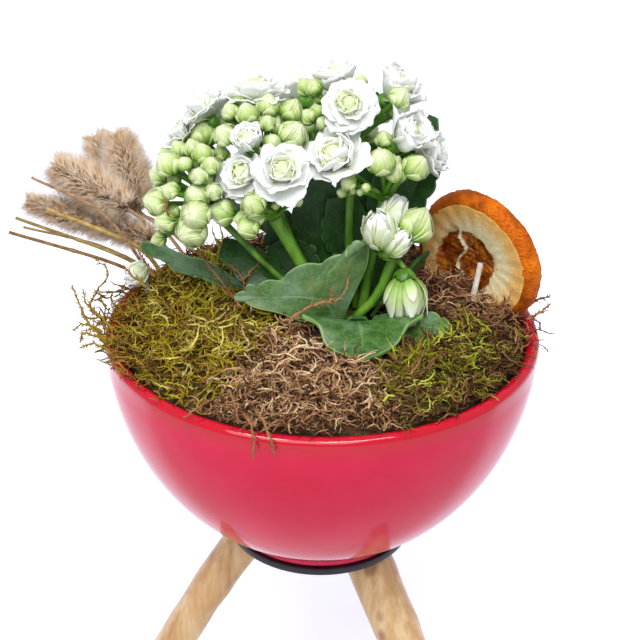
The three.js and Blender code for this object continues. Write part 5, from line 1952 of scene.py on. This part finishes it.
# %% Scatter sprigs over a pad
BORDER_BLUR = 3.5
CROWDING = 2.3
TUFT_LIFT = 3.6
TILT = 0.5
DRY_FROM = 58
DRY_OVER = 14
DRYNESS = 0.2
RIM_SINK = 1.2
LOWEST = 0.8
GREEN_SPOTS = [(50, -24, 9, 0.5), (36, -46, 12, 0.45), (66, -16, 5, 0.3), (20, -60, 9, 0.3)]


def pad_places(name, start, end, count):
    """Places for sprigs over a pad between two azimuths in degrees."""
    rng = random.Random(name)
    places = []
    for _ in range(count):
        turn = math.radians(rng.uniform(start, end) + rng.gauss(0, BORDER_BLUR))
        inner_edge = hollow_edge(turn)
        spread = rng.uniform(inner_edge ** CROWDING, (MOSS_RADIUS + 1) ** CROWDING)
        radius = spread ** (1 / CROWDING)
        x, y = radius * math.cos(turn), radius * math.sin(turn)
        if any(inside(x, y, corners) for corners in LOW_LEAVES):
            continue
        tuft = fine_lump(x, y)
        z = mound(x, y) + heap(x, y, HIGH_TUFTS) * rng.random() + TUFT_LIFT * tuft * rng.random() ** 1.5
        near_rim = clamped((radius - DRY_FROM) / DRY_OVER)
        z = max(z - near_rim * RIM_SINK, LOWEST)
        out = Vector((math.cos(turn), math.sin(turn), 0))
        normal = Vector((0, 0, 1)) + 0.3 * out * radius / MOSS_RADIUS
        normal += TILT * Vector((rng.gauss(0, 1), rng.gauss(0, 1), 0))
        spot = aimed(at(x, y, z), normal, rng.uniform(0, 6.3))
        size = rng.uniform(0.7, 1.2) * (1 - 0.25 * near_rim)
        # The tuft term lightens sprigs on the tufts and darkens those between them: painted light and
        # painted shade.
        hue = 0.52 + 0.32 * rng.gauss(0, 1) + 0.6 * (tuft - 0.5) - DRYNESS * near_rim
        if name == "moss_olive":
            hue += heap(x, y, GREEN_SPOTS) - 0.3
        places.append((rng.randrange(SPRIG_KINDS), spot @ Matrix.Scale(size, 4), clamped(hue)))
    return places


# %% [markdown]
# Some dry sprigs lie on the lip of the bowl, a few of them over its edge. Longer ones, with shoots
# at every knee, trail over the rim and over the leaves. Where a short sprig would go through the
# lip, it is lifted and lies flat on the glaze.


# %% Sprigs on the lip
SPILL_REACH = 1.5
SPILL_HEIGHT = 3.6
LIP_CLEARANCE = 1
SETTLED_THICKNESS = 0.12


def spilled(name, start, end, count):
    """Places for dry sprigs that lie on the lip of the bowl, a few over its edge."""
    rng = random.Random("spill " + name)
    places = []
    for _ in range(count):
        turn = math.radians(rng.uniform(start, end))
        radius = rng.uniform(MOSS_RADIUS - 1, RIM_RADIUS + SPILL_REACH)
        low = int(radius < RIM_RADIUS)
        spot = at(radius * math.cos(turn), radius * math.sin(turn), rng.uniform(low, SPILL_HEIGHT))
        normal = Vector((rng.gauss(0, 0.5), rng.gauss(0, 0.5), 1))
        place = aimed(spot, normal, turn + math.radians(90) + rng.gauss(0, 0.7))
        hue = rng.uniform(0.05, 0.5)
        size = rng.uniform(0.6, 1.05)
        places.append((rng.randrange(SPRIG_KINDS), place @ Matrix.Scale(size, 4), hue))
    return places


def settled(piece, free):
    """Lifts strands that would go through the lip of the bowl; the last `free` points stay."""
    spots = np.empty(3 * len(piece.data.vertices))
    piece.data.vertices.foreach_get("co", spots)
    spots = spots.reshape(-1, 3)
    reach = np.hypot(spots[:, 0] - RIM.x, spots[:, 1] - RIM.y) / MM
    low = RIM.z + LIP_CLEARANCE * MM
    sunk = (reach > MOSS_RADIUS) & (reach < RIM_RADIUS + SPILL_REACH) & (spots[:, 2] < low)
    sunk[len(spots) - free:] = False
    spots[sunk, 2] = low + SETTLED_THICKNESS * (spots[sunk, 2] - low)
    piece.data.vertices.foreach_set("co", spots.ravel())
    piece.data.update()


# %% Set out the long sprigs
TRAILING = {
    "moss_green": [
        [(-81, -6, 4), (-85, -2, 6), (-84.7, 2, 8.5), (-79.5, 8, 15.9), (-85, 10, 21)],
        [(-69, -26, 2), (-77.9, -18, 3), (-85, -10, 4), (-89, -4, 9.5), (-92, 0, 14.8)],
        [(-60.4, -40, 3), (-66, -36, 5), (-74, -34, 3.5)],
        [(-79, -14, 3), (-86, -12, 5), (-90, -14, 3)],
        [(-74, -14, 3), (-80, -8, 5), (-86, -3, 8), (-88, 1, 12)],
        [(-76, -20, 3), (-83, -17, 3.5), (-87, -13, 1), (-88, -10, -4)],
        [(-72, -30, 2), (-80, -26, 4.5), (-86, -24, 2)],
        [(-64.8, 2, 13), (-70, 6, 15.5), (-74, 8, 19)],
    ],
    "moss_brown": [
        [(-28, -62, 3), (-24.5, -71, 3.5), (-21.7, -78, 1.5), (-21.9, -80, -6.9)],
        [(-24, -62, 3), (-19, -72, 3.5), (-16.5, -79, 1.2), (-14.7, -80.5, -5)],
        [(-31, -56, 5), (-28.5, -66, 4.8), (-26.5, -75, 3.6)],
        [(-29.5, -12, 12.5), (-32.5, -8, 15), (-38, -5, 21), (-42, -1, 24.5), (-46.4, 3, 29)],
        [(-28, -9, 17), (-28.5, -9, 21), (-30, -8, 24.5), (-33.5, -8, 28)],
        [(-28.5, -9, 21.5), (-26.3, -9, 25.5), (-23, -8, 28.4)],
        [(-50.4, -14, 41), (-53.4, -18, 51.3), (-54.5, -18, 57.5)],
        [(-62, 6, 15), (-65.5, 9, 19.5), (-68.5, 11, 23.5)],
        [(-11.7, -28, 17.2), (-2.7, -24, 20.4), (2.6, -21.5, 20.6), (6.7, -20, 22), (9.8, -16, 28.3)],
        [(2.6, -21.5, 20.6), (3.5, -21, 22.5), (3.2, -20.5, 25)],
        [(-36, -60, 3), (-41, -66, 3.4), (-45, -70, 2.4)],
    ],
    "moss_olive": [
        [(75.5, 0, 3), (81, 3, 5), (85, 6, 6.5)],
    ],
    "moss_back": [
        [(75, 9, 3), (81, 9.5, 6.5), (85, 10, 8)],
        [(74.5, 14, 4), (78, 15, 7.5), (76.5, 16, 12.5)],
    ],
}
print("long sprigs:", {name: len(lines) for name, lines in TRAILING.items()})


# %% Draw a long sprig
TRAIL_GIRTH = 0.68
TRAIL_STEP = 1.5
SHOOT_REACH = 2.6
SHOOTS_AT_KNEE = 3


def trailing(points, seed):
    """A long sprig from its root to its tip, with shoots at every knee, as routes."""
    rng = random.Random(seed)
    length = sum(math.dist(a, b) for a, b in zip(points, points[1:]))
    knees = max(6, round(length / TRAIL_STEP))
    line = [p + Vector([rng.uniform(-0.35, 0.35) for _ in range(3)]) for p in smooth_line(points, knees)]
    strand = [
        (*p, TRAIL_GIRTH * (1 - 0.65 * k / knees) * (1.25 if k % 2 else 0.85))
        for k, p in enumerate(line)
    ]
    routes = [strand]
    for k in range(1, knees):
        tangent = (line[k + 1] - line[k - 1]).normalized()
        for _ in range(SHOOTS_AT_KNEE):
            out = Matrix.Rotation(rng.uniform(0, 6.3), 3, tangent) @ tangent.orthogonal().normalized()
            reach = SHOOT_REACH * rng.uniform(0.4, 1.2) * (1 - 0.5 * k / knees)
            tip = line[k] + (0.7 * tangent + out) * 0.8 * reach
            routes.append([(*line[k], 0.5 * TRAIL_GIRTH), (*tip, 0.1 * TRAIL_GIRTH)])
    return routes


# %% Colours of the moss
def moss(name, root_colour, *stops):
    """Moss that is dark at the root and takes its colour from the copy's own tint."""
    skin = Surface(name, Roughness=0.8, Specular_IOR_Level=0.15)
    along = skin.across()[1]
    value = skin.tint() + (skin.noise(140, 2) - 0.5) * 0.5
    fresh = skin.ramp(value, *stops)
    skin.colour(skin.mix(skin.step(along, 0.45, 0.0) * 0.4, fresh, root_colour))
    skin.relief(skin.noise(1400, 3), 0.12, 0.7)
    return skin


olive_yellow = moss(
    "moss_olive_yellow", rgb(80, 60, 14), (0.0, rgb(100, 66, 34)), (0.22, rgb(158, 118, 54)),
    (0.5, rgb(166, 144, 20)), (0.78, rgb(194, 180, 50)), (0.97, rgb(228, 214, 118)),
)
tan_brown = moss(
    "moss_tan_brown", rgb(84, 54, 32), (0.0, rgb(66, 42, 24)), (0.28, rgb(146, 102, 66)),
    (0.58, rgb(204, 158, 112)), (0.95, rgb(248, 216, 172)),
)
leaf_olive = moss(
    "moss_leaf_olive", rgb(70, 50, 22), (0.0, rgb(74, 46, 28)), (0.3, rgb(160, 118, 72)),
    (0.46, rgb(128, 114, 32)), (0.7, rgb(156, 160, 30)), (0.97, rgb(214, 220, 92)),
)
red_brown = moss(
    "moss_red_brown", rgb(70, 42, 26), (0.0, rgb(62, 36, 22)), (0.35, rgb(138, 90, 60)),
    (0.62, rgb(182, 132, 92)), (0.95, rgb(226, 186, 140)),
)
tell(olive_yellow, tan_brown, leaf_olive, red_brown)

# %% Lay the moss
# The pad and the lip are (first azimuth, last azimuth, number of sprigs).
MOSS_PADS = {
    "moss_green": {"pad": (128, 238, 1640), "lip": (166, 212, 75), "kinds": CURLY, "skin": olive_yellow},
    "moss_brown": {"pad": (238, 292, 1180), "lip": (246, 262, 14), "kinds": STRAIGHT, "skin": tan_brown},
    "moss_olive": {"pad": (292, 345, 1220), "lip": (338, 348, 6), "kinds": CURLY, "skin": leaf_olive},
    "moss_back": {"pad": (345, 488, 1060), "lip": (346, 366, 12), "kinds": STRAIGHT, "skin": red_brown},
}
TRAIL_TINT = 0.33
for name, moss_pad in MOSS_PADS.items():
    routes = []
    for k, points in enumerate(TRAILING[name]):
        routes += trailing(points, f"{name} {k}")
    trails = drawn("trails_" + name, routes, section=SECTION)
    lay_uv(trails, lambda p: (0.5, 0.8))
    places = pad_places(name, *moss_pad["pad"]) + spilled(name, *moss_pad["lip"])
    places.append((SPRIG_KINDS, Matrix.Identity(4), TRAIL_TINT))
    tangle = copied("sprigs_" + name, [*moss_pad["kinds"], trails], places)
    settled(tangle, len(trails.data.vertices))
    discard([trails])
    hand_over(tangle, "moss_dark" if name == "moss_back" else name, surfaces=[moss_pad["skin"]])
discard([*CURLY, *STRAIGHT, SECTION])

# %% [markdown]
# ## What keeps its own shape
#
# The packed soil, the rootstock and the pads under the sprigs are right as they stand. They only
# need their surfaces: crumbly dark peat, scarred green bark and matted fibre. The matted fibre is
# darker than the sprigs over it, partly its own colour and partly painted shade in the gaps
# between the sprigs.

# %% Surfaces for the carried-over pieces
peat = Surface("dark_peat", Roughness=0.95)
crumbs = peat.noise(420, 5)
peat.colour(peat.ramp(crumbs, (0.35, rgb(26, 18, 12)), (0.55, rgb(52, 38, 26)), (0.75, rgb(84, 64, 46))))
peat.relief(crumbs + peat.cells(600), 1.2, 1.0)

bark = Surface("rootstock_bark", Roughness=0.6)
scars = bark.noise(300, 4, bark.place(scale=(1, 1, 2)))
bark.colour(bark.ramp(scars, (0.35, rgb(70, 60, 34)), (0.55, rgb(92, 104, 48)), (0.75, rgb(120, 128, 74))))
bark.relief(scars, 0.5, 0.8)


# The matted pads are darker than the sprigs: partly their own colour, partly painted shade in the gaps
# between sprigs.
def matted(name, dark, light):
    skin = Surface(name, Roughness=0.95)
    fibres = skin.noise(500, 5, skin.place(scale=(1, 1, 3)))
    skin.colour(skin.ramp(fibres, (0.36, dark), (0.7, light)))
    skin.relief(fibres, 0.9, 1.0)
    return skin


KEPT = {
    "soil": peat, "crown": bark,
    "moss_green": matted("matted_green", rgb(40, 30, 10), rgb(106, 90, 30)),
    "moss_brown": matted("matted_brown", rgb(36, 22, 14), rgb(104, 72, 48)),
    "moss_olive": matted("matted_olive", rgb(34, 24, 12), rgb(88, 74, 34)),
    "moss_back": matted("matted_back", rgb(32, 20, 12), rgb(88, 58, 40)),
}
for node, surface in KEPT.items():
    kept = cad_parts[node]
    kept.data.materials.clear()
    kept.data.materials.append(surface.material)
    print(node, "gets", surface.material.name)
